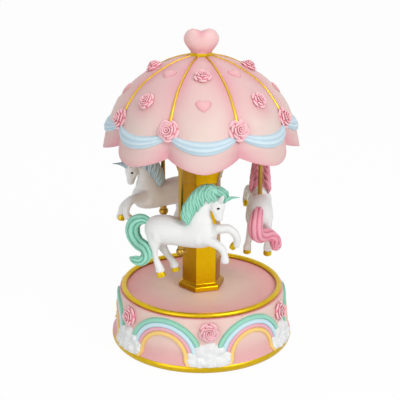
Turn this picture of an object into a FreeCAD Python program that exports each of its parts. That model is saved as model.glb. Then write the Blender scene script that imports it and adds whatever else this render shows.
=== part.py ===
import FreeCAD, Part
import math
import os

V = FreeCAD.Vector

# A carousel music box: unicorns hang from a lobed canopy that turns above a drum with a wind-up movement.
# Millimetres and degrees. Z is up from the table, the front faces -Y, angles run from the front towards +X.

# Clearances
RUNNING_FIT = 0.05
GLUE_FIT = 0.02
FREE_GAP = 0.4
SEAT_DEPTH = 1.2

# Base drum
WALL_FOOT_RADIUS = 49.7
WALL_TAPER = 2.6
WALL_THICKNESS = 4.0
FOOT_OVERHANG = 2.9
FOOT_RIM_WIDTH = 2.6
FOOT_RIM_ROUND = 1.0
FOOT_HEIGHT = 4.4
FLARE_INSET = 0.8
FLARE_HEIGHT = 7.1
FLARE_BEND_OUT = 0.3
FLARE_BEND_UP = 0.4
DECK_THICKNESS = 2.5
DECK_HEADROOM = 2.95
DECK_RING_INSET = 2.4
DECK_RING_BEAD = 1.55
DECK_RING_LIFT = 1.0

# Base ornament: a band has a colour, width and relief, a cloud's puff a place along the wall, height and radius
BASE_TURN = 4.8
BASE_REPEATS = 6
RAINBOW_SPACING = 4.0
RAINBOW_TOP_MARGIN = 1.2
RAINBOW_FOOT_MARGIN = 1.2
RAINBOW_BANDS = (("green", 2.5, 1.5), ("blue", 2.6, 1.1), ("pink", 2.2, 0.8), ("yellow", 2.4, 1.2))
CLOUD_PUFFS = ((-8.8, 7.4, 4.4), (-3.2, 7.0, 5.2), (3.2, 7.0, 5.2), (8.8, 7.4, 4.4), (-5.0, 11.4, 5.2),
               (0.4, 12.8, 5.6), (5.4, 11.0, 5.0))
CLOUD_SINK = 0.6
BASE_ROSE_RADIUS = 5.2
BASE_ROSE_DROP = 7.2

# Roses: petals and turn, then lower and upper reach, lower and upper height as shares of the rose's radius
ROSE_LAYERS = ((5, 0, 1.0, 0.84, 0.0, 0.34), (5, 36, 0.76, 0.6, 0.1, 0.58), (3, 10, 0.48, 0.3, 0.4, 0.78))
PETAL_NOTCH = 0.14

# Canopy: height over the skirt, radius at a panel's middle and depth of the valley between two panels
CANOPY_LIFT = 84.5
CANOPY_SECTIONS = ((0.0, 54.4, 6.2), (4.0, 53.6, 5.5), (9.5, 52.3, 4.8), (16.5, 50.0, 3.9),
                   (23.5, 47.0, 3.0), (30.0, 42.2, 2.2), (36.0, 36.5, 1.6), (41.0, 29.5, 1.2),
                   (45.0, 21.8, 0.8), (48.0, 14.3, 0.4), (50.2, 5.6, 0.1))
CANOPY_PANELS = 8
CANOPY_TURN = 1.5
CANOPY_WALL = 2.6
CUSP_RISE = 5.2
NOTCH_SHOULDER = 0.36
NOTCH_RUN_OUT = 0.6
RIB_RADIUS = 1.0
RIB_ROSE_RADIUS = 5.3
RIB_ROSE_RISE = 19.4
PANEL_ROSE_RADIUS = 4.3
MID_ORNAMENT_RISE = 31.6
TOP_ORNAMENT_RISE = 43.4
HEART_WIDTH = 7.8
HEART_HEIGHT = 6.8
HEART_RELIEF = 1.3
SWAG_SPAN = 0.86
SWAG_END_RISE = 17.0
SWAG_SAG = 4.8
SWAG_HALF_HEIGHT = 3.7
SWAG_THICKNESS = 1.9
SWAG_END_HEIGHT_SHARE = 0.55
SWAG_END_THICKNESS_SHARE = 0.65

# Crown and finial
CROWN_RING_LIP = 1.0
CROWN_RING_HEIGHT = 1.5
FINIAL_NECK_RADIUS = 5.0
FINIAL_WIDTH = 18.8
FINIAL_HEIGHT = 14.0
FINIAL_DEPTH = 12.0
FINIAL_PIN_RADIUS = 1.2
FINIAL_PIN_LENGTH = 12.0

# Column
COLUMN_SIDES = 6
COLUMN_TURN = 15.5
COLUMN_RADIUS = 11.33
COLUMN_CHAMFER = 0.4
PLINTH_GAP = 0.15
PLINTH_STEP = 2.27
PLINTH_HEIGHT = 2.6
PLINTH_SLOPE = 1.0
PLINTH_LIP = 0.9
CAPITAL_HEIGHT = 23.0
CAPITAL_RISE = 3.0
CAPITAL_FLARE = 6.17
CAPITAL_BELL = 3.4
CAPITAL_BELL_SHARE = 0.35
CAPITAL_RIM_SHARE = 0.75
NECK_STEP = 0.87
NECK_BAND = 1.2
TENON_RADIUS = 6.0
TENON_LENGTH = 9.0
SOCKET_WALL = 6.0

# Poles and unicorns: each unicorn has a name, a turn on its pole and a lift over the lowest one
POLE_CIRCLE = 34.0
POLE_RADIUS = 1.25
POLE_SOCKET_RADIUS = 3.4
POLE_SOCKET_LENGTH = 10.0
FIRST_POLE_ANGLE = -18.8
UNICORNS = (("front", 0.0, 0.0), ("right", -15.0, 1.0), ("left", -10.0, 2.5))
SADDLE_DROP = 33.0
BELLY_DEPTH = 14.7
BALL_RADIUS = 2.75
BALL_HEIGHT = 4.6
BALL_COLLAR_RADIUS = 1.9
BALL_COLLAR_HEIGHT = 0.9
OVAL_POINTS = 8

# Winding key and underside
COVER_THICKNESS = 2.0
COVER_LEDGE = 1.0
COVER_HOLE_RADIUS = 5.5
COVER_SCREW_ANGLES = (115.0, 225.0, 305.0)
COVER_BOSS_RADIUS = 3.4
COVER_BOSS_INSET = 4.1
BOSS_ROOT = 1.0
SCREW_RADIUS = 1.2
SCREW_HEAD_RADIUS = 2.4
SCREW_HEAD_HEIGHT = 1.2
SCREW_LENGTH = 7.0
ARBOR_RADIUS = 2.0
KEY_SPAN = 25.0
KEY_WING_HEIGHT = 6.2
KEY_THICKNESS = 1.8
KEY_HUB_RADIUS = 3.4
KEY_EYE_RADIUS = 1.5
KEY_GROUND_GAP = 0.9
KEY_TOP_GAP = 1.4

# Movement
BEDPLATE_THICKNESS = 2.0
BEDPLATE_MARGIN = 0.8
MOVEMENT_CLEARANCE = 3.6
MOVEMENT_SCREW_INSET = 4.0
MOVEMENT_SCREW_BITE = 1.2
RATCHET_WIRE_RADIUS = 0.4
RATCHET_TURNS = 2
RATCHET_GAP = 0.3
BARREL_STEP = 1.2
BARREL_WALL = 0.8
BARREL_PLATE = 1.3
SPRING_STRIP = 0.35
SPRING_PITCH = 0.9
SPRING_HUB_STEP = 1.0
SHAFT_RADIUS = 1.5
SHAFT_REACH = 41.0
BUSH_RADIUS = 3.5
BUSH_FLANGE_RADIUS = 6.0
BUSH_FLANGE = 0.25
TOOTH_ROOT_SHARE = 0.5
TOOTH_SHARE = 0.39
TOOTH_TIP_SHARE = 0.17
TOOTH_ADDENDUM = 0.8
CROWN_MODULE = 0.75
CROWN_TEETH = 36
CROWN_FACE = 2.6
CROWN_RIM = 0.1
CROWN_TIP_SHARE = 0.085
CROWN_ROOT_SHARE = 0.25
CROWN_ADDENDUM = 0.75
PINION_TEETH = 12
PINION_FACE = 2.0
CYLINDER_ARBOR_RADIUS = 1.0
CYLINDER_RADIUS = 5.2
CYLINDER_TRACKS = 18
TRACK_PINS = 3
TRACK_TURN = 47.0
PIN_RADIUS = 0.2
PIN_HEIGHT = 0.4
BEARING_POST = 1.0
BEARING_HALF_WIDTH = 2.5
COMB_GAP = 0.3
COMB_TOOTH_LENGTH = 10.8
COMB_HEEL = 6.0
COMB_THICKNESS = 1.0
COMB_SLOT = 0.2
COMB_SLOT_STEP = 0.15
COMB_SCREW_HEAD_RADIUS = 1.8
WHEEL_MODULE = 0.3
WHEEL_TEETH = 30
WHEEL_FACE = 1.2
GOVERNOR_TEETH = 10
GOVERNOR_ARBOR_RADIUS = 0.6
FLY_RADIUS = 4.2
FLY_LENGTH = 4.6
FLY_THICKNESS = 0.4
FLY_SLEEVE_WALL = 0.6
BRACKET_THICKNESS = 0.8

# Heights of the movement, from the key up to the deck over it
KEY_RECESS = KEY_GROUND_GAP + KEY_WING_HEIGHT + KEY_TOP_GAP
COVER_TOP = KEY_RECESS + COVER_THICKNESS
BEDPLATE_TOP = COVER_TOP + BEDPLATE_THICKNESS
PINION_PITCH = PINION_TEETH * CROWN_MODULE / 2
CYLINDER_REACH = CYLINDER_RADIUS + PIN_HEIGHT
AXIS_LIFT = max(CYLINDER_REACH, PINION_PITCH + CROWN_MODULE, FLY_RADIUS + BRACKET_THICKNESS) + FREE_GAP
AXIS_HEIGHT = BEDPLATE_TOP + AXIS_LIFT
MESH_HEIGHT = AXIS_HEIGHT + PINION_PITCH
RATCHET_HEIGHT = RATCHET_TURNS * RATCHET_WIRE_RADIUS * 2
BARREL_BOTTOM = BEDPLATE_TOP + RATCHET_HEIGHT + RATCHET_GAP
BARREL_PLATE_BOTTOM = MESH_HEIGHT + CROWN_MODULE
BARREL_TOP = BARREL_PLATE_BOTTOM + BARREL_PLATE
CEILING = BARREL_TOP + DECK_HEADROOM
DECK_HEIGHT = CEILING + DECK_THICKNESS

# Radii of the drum
FOOT_RADIUS = WALL_FOOT_RADIUS + FOOT_OVERHANG
FOOT_INNER_RADIUS = FOOT_RADIUS - FOOT_RIM_WIDTH
WALL_TOP_RADIUS = WALL_FOOT_RADIUS - WALL_TAPER
CAVITY_FOOT_RADIUS = WALL_FOOT_RADIUS - WALL_THICKNESS
CAVITY_TOP_RADIUS = WALL_TOP_RADIUS - WALL_THICKNESS

# Places along the cylinder's axis: outwards from the crown teeth, then inwards from the drum's wall
CROWN_PITCH = CROWN_TEETH * CROWN_MODULE / 2
CROWN_OUTER = CROWN_PITCH + CROWN_FACE / 2
CROWN_INNER = CROWN_OUTER - CROWN_FACE
BARREL_RADIUS = CROWN_INNER - BARREL_STEP
SPRING_HUB_RADIUS = ARBOR_RADIUS + SPRING_HUB_STEP
POST_START = CROWN_OUTER + FREE_GAP
CYLINDER_START = POST_START + BEARING_POST + FREE_GAP
GOVERNOR_OFFSET = (WHEEL_TEETH + GOVERNOR_TEETH) * WHEEL_MODULE / 2 + RUNNING_FIT
BRACKET_SIDE = GOVERNOR_OFFSET + BEARING_HALF_WIDTH
BRACKET_END = math.sqrt((CAVITY_TOP_RADIUS - MOVEMENT_CLEARANCE) ** 2 - BRACKET_SIDE ** 2)
FLY_END = BRACKET_END - BRACKET_THICKNESS - FREE_GAP
FLY_START = FLY_END - FLY_LENGTH
BRACKET_START = FLY_START - FREE_GAP - BRACKET_THICKNESS
WHEEL_START = BRACKET_START - FREE_GAP - WHEEL_FACE
CYLINDER_END = WHEEL_START - FREE_GAP
CYLINDER_LENGTH = CYLINDER_END - CYLINDER_START

# Places of the drum's ornament, the column and the canopy
FLARE_TOP = FOOT_HEIGHT + FLARE_HEIGHT
RAINBOW_RADIUS = math.pi * WALL_FOOT_RADIUS / BASE_REPEATS - RAINBOW_SPACING
RAINBOW_SILL = DECK_HEIGHT - RAINBOW_TOP_MARGIN - RAINBOW_RADIUS
BASE_ROSE_HEIGHT = DECK_HEIGHT - BASE_ROSE_DROP
SKIRT_HEIGHT = DECK_HEIGHT + CANOPY_LIFT
CROWN_HEIGHT = SKIRT_HEIGHT + CANOPY_SECTIONS[-1][0]
CROWN_RING_RADIUS = CANOPY_SECTIONS[-1][1] + CROWN_RING_LIP
PANEL_ANGLE = 360.0 / CANOPY_PANELS
PLINTH_BOTTOM = DECK_HEIGHT + BUSH_FLANGE + PLINTH_GAP
PLINTH_TOP = PLINTH_BOTTOM + PLINTH_HEIGHT
SHAFT_TOP = PLINTH_BOTTOM + SHAFT_REACH
CAPITAL_TOP = SKIRT_HEIGHT + CAPITAL_RISE
CAPITAL_BOTTOM = CAPITAL_TOP - CAPITAL_HEIGHT
SADDLE_HEIGHT = SKIRT_HEIGHT - SADDLE_DROP
BELLY_HEIGHT = SADDLE_HEIGHT - BELLY_DEPTH
BALL_MIDDLE = BELLY_HEIGHT - BALL_COLLAR_HEIGHT - BALL_HEIGHT / 2


def turned(shape, angle):
    copy = shape.copy()
    copy.rotate(V(0, 0, 0), V(0, 0, 1), angle)
    return copy


def ring_of(shape, count, start=0.0):
    return [turned(shape, start + 360.0 / count * index) for index in range(count)]


def joined(*shapes):
    return shapes[0].fuse(list(shapes[1:])).removeSplitter()


def save(node, *shapes):
    solids = [solid for shape in shapes for solid in shape.Solids]
    whole = solids[0] if len(solids) == 1 else Part.makeCompound(solids)
    whole.exportStep("parts/" + node + ".step")


def spline(points):
    curve = Part.BSplineCurve()
    curve.interpolate(points)
    return curve.toShape()


def closed_spline(points):
    curve = Part.BSplineCurve()
    curve.interpolate(Points=points, PeriodicFlag=True)
    return Part.Wire(curve.toShape())


def oval_turns():
    return [2 * math.pi * step / OVAL_POINTS for step in range(OVAL_POINTS)]


# A face in the XZ plane: each step is the next corner, or a pair with a point on an arc and the arc's end
def outline(start, *steps):
    edges = []
    here = V(start[0], 0, start[1])
    for step in steps + (start,):
        via, end = step if isinstance(step[0], tuple) else (None, step)
        there = V(end[0], 0, end[1])
        if via:
            edges.append(Part.Arc(here, V(via[0], 0, via[1]), there).toShape())
        elif not here.isEqual(there, 1e-6):
            edges.append(Part.makeLine(here, there))
        here = there
    return Part.Face(Part.Wire(edges))


def lathe(start, *steps):
    return outline(start, *steps).revolve(V(0, 0, 0), V(0, 0, 1), 360)


def rod(radius, bottom, top, x=0.0, y=0.0):
    return Part.makeCylinder(radius, top - bottom, V(x, y, bottom))


def cross_rod(radius, start, end, y, z):
    return Part.makeCylinder(radius, end - start, V(start, y, z), V(1, 0, 0))


def block(x_start, x_end, y_start, y_end, bottom, top):
    return Part.makeBox(x_end - x_start, y_end - y_start, top - bottom, V(x_start, y_start, bottom))


def polygon_wire(radius, sides, height):
    corners = []
    for index in range(sides + 1):
        angle = 2 * math.pi * (index + 0.5) / sides
        corners.append(V(radius * math.sin(angle), -radius * math.cos(angle), height))
    return Part.makePolygon(corners)


# A closed ring of arcs that bulge to the outer radius and meet in valleys
def lobed_wire(radius, depth, height, lobes, turn=0.0):
    edges = []
    half = math.pi / lobes
    for index in range(lobes):
        middle = 2 * half * index + math.radians(turn)
        valley = radius - depth
        points = []
        for angle, reach in ((middle - half, valley), (middle, radius), (middle + half, valley)):
            points.append(V(reach * math.sin(angle), -reach * math.cos(angle), height))
        edges.append(Part.Arc(*points).toShape())
    return Part.Wire(edges)


# An ornament is drawn lying on the XY plane, then stood on a surface at the front with its face tilted up
def seated(shape, radius, height, tilt):
    copy = shape.copy()
    copy.rotate(V(0, 0, 0), V(1, 0, 0), 90 - tilt)
    copy.translate(V(0, -radius, height))
    return copy


# An open rose, its foot sunk for seating: two rings of petals and a bud, each a tapered lobed form
def rose(radius):
    forms = []
    for petals, turn, wide, narrow, low, high in ROSE_LAYERS:
        lower = lobed_wire(radius * wide, radius * wide * PETAL_NOTCH, low * radius - SEAT_DEPTH, petals, turn)
        upper = lobed_wire(radius * narrow, radius * narrow * PETAL_NOTCH, high * radius, petals, turn)
        forms.append(Part.makeLoft([lower, upper], True, True))
    return joined(*forms)


# A heart's rim from the points of its right half, notch first, set in space by the place function
def heart_wire(half, place):
    edges = [spline([place(x, y) for x, y in half])]
    if half[-1][0] > 0:
        edges.append(Part.makeLine(place(*half[-1]), place(-half[-1][0], half[-1][1])))
    edges.append(spline([place(-x, y) for x, y in reversed(half)]))
    return Part.Wire(edges)


def heart_relief(width, height, relief):
    half = ((0, 0.27 * height), (0.25 * width, 0.5 * height), (0.5 * width, 0.2 * height),
            (0.28 * width, -0.22 * height), (0, -0.5 * height))
    wires = []
    for share, level in ((1.0, -SEAT_DEPTH), (1.0, 0.3 * relief), (0.84, 0.8 * relief), (0.55, relief)):
        wires.append(heart_wire(half, lambda x, y: V(x * share, y * share, level)))
    return Part.makeLoft(wires, True, False)


# Base drum

def wall_radius(height):
    return WALL_FOOT_RADIUS - WALL_TAPER * (height - FLARE_TOP) / (DECK_HEIGHT - FLARE_TOP)


# The drum's outer form, grown outwards for the reliefs that lie on it
def drum_plug(growth):
    foot = FOOT_RADIUS - FLARE_INSET + growth
    waist = WALL_FOOT_RADIUS + growth
    top = WALL_TOP_RADIUS + growth
    bend = (waist + (foot - waist) * FLARE_BEND_OUT, FOOT_HEIGHT + FLARE_HEIGHT * FLARE_BEND_UP)
    return lathe((0, FOOT_HEIGHT), (foot, FOOT_HEIGHT), (bend, (waist, FLARE_TOP)), (top, DECK_HEIGHT),
                 (0, DECK_HEIGHT))


def base_shell():
    recess = rod(CAVITY_FOOT_RADIUS + COVER_LEDGE, 0, COVER_TOP)
    body = drum_plug(0).fuse(rod(FOOT_INNER_RADIUS, 0, FOOT_HEIGHT))
    body = body.cut([cavity(0), recess, rod(BUSH_RADIUS, CEILING, DECK_HEIGHT)])
    bosses = []
    holes = []
    for x, y in cover_screw_places():
        bosses.append(rod(COVER_BOSS_RADIUS, COVER_TOP, DECK_HEIGHT, x, y).common(cavity(BOSS_ROOT)))
        holes.append(rod(SCREW_RADIUS, COVER_TOP, KEY_RECESS + SCREW_LENGTH, x, y))
    return body.fuse(bosses).cut(holes).removeSplitter()


def cavity(growth):
    foot = CAVITY_FOOT_RADIUS + growth
    top = CAVITY_TOP_RADIUS + growth
    return lathe((0, COVER_TOP), (foot, COVER_TOP), (top, CEILING + growth), (0, CEILING + growth))


def cover_screw_places():
    places = []
    reach = CAVITY_FOOT_RADIUS - COVER_BOSS_INSET
    for angle in COVER_SCREW_ANGLES:
        turn = math.radians(angle)
        places.append((reach * math.cos(turn), reach * math.sin(turn)))
    return places


def foot_rim():
    edge = FOOT_RADIUS - FOOT_RIM_ROUND
    bead = ((FOOT_RADIUS, FOOT_HEIGHT / 2), (edge, FOOT_HEIGHT))
    return lathe((FOOT_INNER_RADIUS, 0), (edge, 0), bead, (FOOT_INNER_RADIUS, FOOT_HEIGHT))


def deck_ring():
    radius = WALL_TOP_RADIUS - DECK_RING_INSET
    ring = Part.makeTorus(radius, DECK_RING_BEAD, V(0, 0, DECK_HEIGHT + DECK_RING_LIFT))
    return ring.cut(rod(FOOT_RADIUS, CEILING, DECK_HEIGHT))


def cloud():
    puffs = []
    for along, height, radius in CLOUD_PUFFS:
        reach = wall_radius(height) - radius * CLOUD_SINK
        turn = along / reach
        puffs.append(Part.makeSphere(radius, V(reach * math.sin(turn), -reach * math.cos(turn), height)))
    foot = rod(FOOT_RADIUS * 2, 0, FOOT_HEIGHT)
    return joined(*puffs).cut([drum_plug(0), foot])


# A ring round the middle of the sill, on straight legs down to its end by the foot. A sill under that end cuts the arc
def half_ring(outer, inner):
    sill = RAINBOW_SILL
    end = FOOT_HEIGHT + RAINBOW_FOOT_MARGIN
    spring = max(sill, end)
    wide = math.sqrt(outer ** 2 - (spring - sill) ** 2)
    narrow = math.sqrt(inner ** 2 - (spring - sill) ** 2)
    face = outline((wide, end), (wide, spring), ((0, sill + outer), (-wide, spring)), (-wide, end), (-narrow, end),
                   (-narrow, spring), ((0, sill + inner), (narrow, spring)), (narrow, end))
    ring = face.extrude(V(0, -FOOT_RADIUS, 0))
    ring.translate(V(0, -FOOT_RADIUS / 2, 0))
    return ring


# Each colour is one band of the arch, as thick as its own relief, down to where the clouds cover it
def rainbow_bands(clouds):
    bands = {}
    outer = RAINBOW_RADIUS
    for colour, width, relief in RAINBOW_BANDS:
        band = half_ring(outer, outer - width).common(drum_plug(relief)).cut(drum_plug(0))
        pieces = turned(band, 180.0 / BASE_REPEATS).cut(clouds).Solids
        bands[colour] = max(pieces, key=lambda piece: piece.Volume)
        outer -= width
    return bands


def base_rose(cloud_below):
    tilt = math.degrees(math.atan2(WALL_TAPER, DECK_HEIGHT - FLARE_TOP))
    form = seated(rose(BASE_ROSE_RADIUS), wall_radius(BASE_ROSE_HEIGHT), BASE_ROSE_HEIGHT, tilt)
    return form.cut([drum_plug(0), cloud_below])


# Canopy

# Radius of the canopy at a height over the skirt and at an angle from a panel's middle, with the slope's tilt
def canopy_spot(rise, angle):
    across = abs(angle) / (PANEL_ANGLE / 2)
    for low, high in zip(CANOPY_SECTIONS, CANOPY_SECTIONS[1:]):
        if rise <= high[0]:
            break
    share = (rise - low[0]) / (high[0] - low[0])
    crest = low[1] + (high[1] - low[1]) * share
    depth = low[2] + (high[2] - low[2]) * share
    tilt = math.degrees(math.atan2(low[1] - high[1], high[0] - low[0]))
    return crest - depth * across * across, tilt


def canopy_plug(inset):
    wires = []
    last = len(CANOPY_SECTIONS) - 1
    for index, (rise, crest, depth) in enumerate(CANOPY_SECTIONS):
        below = CANOPY_SECTIONS[max(index - 1, 0)]
        above = CANOPY_SECTIONS[min(index + 1, last)]
        slope = math.atan2(above[0] - below[0], below[1] - above[1])
        radius = crest - inset * math.sin(slope)
        height = SKIRT_HEIGHT + rise - inset * math.cos(slope)
        wires.append(lobed_wire(radius, depth, height, CANOPY_PANELS))
    return Part.makeLoft(wires, True, False)


# The arched notch under each valley, between two lobes of the skirt
def skirt_notch():
    reach = CANOPY_SECTIONS[0][1] * math.sin(math.radians(PANEL_ANGLE / 2))
    low = SKIRT_HEIGHT - NOTCH_RUN_OUT
    cusp = SKIRT_HEIGHT + CUSP_RISE
    shoulder = low + (cusp - low) * NOTCH_SHOULDER
    face = outline((-reach, low), ((-reach / 2, shoulder), (0, cusp)), ((reach / 2, shoulder), (reach, low)))
    notch = face.extrude(V(0, -FOOT_RADIUS, 0))
    notch.translate(V(0, -POLE_CIRCLE, 0))
    return turned(notch, PANEL_ANGLE / 2)


def canopy_shell(plug):
    shell = plug.cut([canopy_plug(CANOPY_WALL)] + ring_of(skirt_notch(), CANOPY_PANELS))
    shell = turned(shell, CANOPY_TURN)
    inside = turned(canopy_plug(CANOPY_WALL / 2), CANOPY_TURN)
    socket = rod(TENON_RADIUS + SOCKET_WALL, CAPITAL_TOP, CROWN_HEIGHT).common(inside)
    sockets = [socket]
    for x, y in pole_places():
        sockets.append(rod(POLE_SOCKET_RADIUS, pole_socket_bottom(), CROWN_HEIGHT, x, y).common(inside))
    holes = [rod(TENON_RADIUS + GLUE_FIT, CAPITAL_TOP, CAPITAL_TOP + TENON_LENGTH)]
    holes.append(rod(FINIAL_PIN_RADIUS, CROWN_HEIGHT - FINIAL_PIN_LENGTH / 2, CROWN_HEIGHT))
    for x, y in pole_places():
        holes.append(rod(POLE_RADIUS, pole_socket_bottom(), pole_top(), x, y))
    return shell.fuse(sockets).cut(holes).removeSplitter()


def pole_socket_bottom():
    return pole_top() - POLE_SOCKET_LENGTH


# The poles end inside the canopy's wall, at the lowest place where one meets it
def pole_top():
    reach = POLE_CIRCLE + POLE_SOCKET_RADIUS
    rises = [rise for rise, crest, depth in CANOPY_SECTIONS if crest - depth > reach]
    return SKIRT_HEIGHT + max(rises)


def canopy_rib(plug):
    points = []
    for rise, crest, depth in CANOPY_SECTIONS:
        if rise > RIB_ROSE_RISE:
            points.append(V(0, -(crest - depth), SKIRT_HEIGHT + rise))
    reach = canopy_spot(RIB_ROSE_RISE, PANEL_ANGLE / 2)[0]
    points.insert(0, V(0, -reach, SKIRT_HEIGHT + RIB_ROSE_RISE))
    path = Part.Wire(spline(points))
    end = path.Edges[0]
    circle = Part.Wire(Part.makeCircle(RIB_RADIUS, points[0], end.tangentAt(end.FirstParameter)))
    rib = path.makePipeShell([circle], True, False)
    return turned(rib, PANEL_ANGLE / 2).cut(plug)


def crown_ring(plug):
    bottom = CROWN_HEIGHT - RIB_RADIUS
    top = CROWN_HEIGHT + CROWN_RING_HEIGHT
    wires = [polygon_wire(CROWN_RING_RADIUS, CANOPY_PANELS, bottom)]
    wires.append(polygon_wire(CROWN_RING_RADIUS, CANOPY_PANELS, CROWN_HEIGHT + CROWN_RING_HEIGHT / 2))
    wires.append(polygon_wire(CROWN_RING_RADIUS - CROWN_RING_HEIGHT / 2, CANOPY_PANELS, top))
    ring = Part.makeLoft(wires, True, True)
    return ring.cut([plug, rod(FINIAL_NECK_RADIUS + FREE_GAP, bottom, top)])


def swag(plug):
    wires = []
    edge = PANEL_ANGLE / 2
    for step in range(-3, 4):
        share = SWAG_SPAN * step / 3
        rise = SWAG_END_RISE - SWAG_SAG * (1 - share * share)
        radius, tilt = canopy_spot(rise, share * edge)
        tall = SWAG_HALF_HEIGHT * (1 - (1 - SWAG_END_HEIGHT_SHARE) * share * share)
        thick = SWAG_THICKNESS * (1 - (1 - SWAG_END_THICKNESS_SHARE) * share * share)
        oval = closed_spline([V(0, tall * math.sin(turn), thick * math.cos(turn)) for turn in oval_turns()])
        section = seated(oval, radius, SKIRT_HEIGHT + rise, tilt)
        wires.append(turned(section, share * edge))
    return Part.makeLoft(wires, True, False).cut(plug)


def panel_ornament(form, rise, plug):
    radius, tilt = canopy_spot(rise, 0)
    return seated(form, radius, SKIRT_HEIGHT + rise, tilt).cut(plug)


def rib_rose(plug, ribs):
    radius, tilt = canopy_spot(RIB_ROSE_RISE, PANEL_ANGLE / 2)
    form = seated(rose(RIB_ROSE_RADIUS), radius, SKIRT_HEIGHT + RIB_ROSE_RISE, tilt)
    return turned(form, PANEL_ANGLE / 2).cut([plug] + ribs)


# A plump heart with a cut foot, lofted from front to back through ever larger and then smaller hearts
def heart_finial():
    half = ((0, 0.885), (0.245, 1.0), (0.5, 0.64), (0.385, 0.3), (0.27, 0.06))
    half = [(x * FINIAL_WIDTH, y * FINIAL_HEIGHT) for x, y in half]
    middle = FINIAL_HEIGHT * 0.55
    wires = []
    slices = ((-1.0, 0.42), (-0.86, 0.7), (-0.5, 0.93), (0, 1.0), (0.5, 0.93), (0.86, 0.7), (1.0, 0.42))
    for depth, share in slices:
        y = depth * FINIAL_DEPTH / 2
        low = CROWN_HEIGHT + middle * (1 - share)
        wires.append(heart_wire(half, lambda x, z: V(x * share, y, low + z * share)))
    neck = rod(FINIAL_NECK_RADIUS, CROWN_HEIGHT, CROWN_HEIGHT + middle / 2)
    heart = joined(Part.makeLoft(wires, True, False), neck)
    return heart.cut(rod(FINIAL_PIN_RADIUS, CROWN_HEIGHT, CROWN_HEIGHT + FINIAL_PIN_LENGTH / 2))


# Column

def hexagons(*levels):
    wires = [polygon_wire(radius, COLUMN_SIDES, height) for height, radius in levels]
    return Part.makeLoft(wires, True, True)


def column():
    plinth_radius = COLUMN_RADIUS + PLINTH_STEP
    neck_radius = COLUMN_RADIUS + NECK_STEP
    capital_radius = COLUMN_RADIUS + CAPITAL_FLARE
    slope_top = PLINTH_TOP + PLINTH_SLOPE
    shaft_bottom = slope_top + COLUMN_CHAMFER
    shaft_top = CAPITAL_BOTTOM - COLUMN_CHAMFER
    plinth = hexagons((PLINTH_BOTTOM, plinth_radius), (PLINTH_TOP, plinth_radius),
                      (slope_top, COLUMN_RADIUS + PLINTH_LIP), (shaft_bottom, COLUMN_RADIUS))
    shaft = hexagons((shaft_bottom, COLUMN_RADIUS), (shaft_top, COLUMN_RADIUS))
    bell_bottom = CAPITAL_BOTTOM + NECK_BAND
    bell_middle = bell_bottom + (CAPITAL_TOP - bell_bottom) * CAPITAL_BELL_SHARE
    bell_rim = bell_bottom + (CAPITAL_TOP - bell_bottom) * CAPITAL_RIM_SHARE
    capital = hexagons((shaft_top, COLUMN_RADIUS), (CAPITAL_BOTTOM, neck_radius), (bell_bottom, neck_radius),
                       (bell_middle, COLUMN_RADIUS + CAPITAL_BELL), (bell_rim, capital_radius),
                       (CAPITAL_TOP, capital_radius))
    tenon = rod(TENON_RADIUS, CAPITAL_TOP, CAPITAL_TOP + TENON_LENGTH)
    whole = joined(plinth, shaft, capital, tenon)
    return turned(whole, COLUMN_TURN).cut(rod(SHAFT_RADIUS, PLINTH_BOTTOM, SHAFT_TOP))


# Poles, balls and unicorns

def pole_angles():
    return [FIRST_POLE_ANGLE + 360.0 / len(UNICORNS) * index for index in range(len(UNICORNS))]


def pole_places():
    places = []
    for angle in pole_angles():
        turn = math.radians(angle)
        places.append((POLE_CIRCLE * math.sin(turn), -POLE_CIRCLE * math.cos(turn)))
    return places


def pole(lift):
    return rod(POLE_RADIUS, BALL_MIDDLE + lift, pole_top(), 0, -POLE_CIRCLE)


# The ball nut's collar meets the belly, which trims it
def ball(casting):
    half = BALL_HEIGHT / 2
    form = lathe((0, BALL_MIDDLE - half), ((BALL_RADIUS, BALL_MIDDLE), (0, BALL_MIDDLE + half)))
    top = BELLY_HEIGHT + BALL_COLLAR_HEIGHT
    nut = joined(form, rod(BALL_COLLAR_RADIUS, BALL_MIDDLE, top))
    nut.translate(V(0, -POLE_CIRCLE, 0))
    return nut.cut([rod(POLE_RADIUS, BALL_MIDDLE, top, 0, -POLE_CIRCLE), casting])


# A smooth form through oval sections. Each station has its place forward of the pole, over the saddle and
# outwards from the middle plane, then its half thickness across the path and its half width.
def drawn(*stations):
    wires = []
    last = len(stations) - 1
    for index, (forward, up, out, thick, wide) in enumerate(stations):
        before = stations[max(index - 1, 0)]
        after = stations[min(index + 1, last)]
        run = math.hypot(after[0] - before[0], after[1] - before[1])
        across = V(before[1] - after[1], 0, after[0] - before[0]) * (thick / run)
        middle = V(forward, -POLE_CIRCLE - out, SADDLE_HEIGHT + up)
        side = V(0, -wide, 0)
        oval = [middle + across * math.cos(turn) + side * math.sin(turn) for turn in oval_turns()]
        wires.append(closed_spline(oval))
    return Part.makeLoft(wires, True, False)


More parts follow.
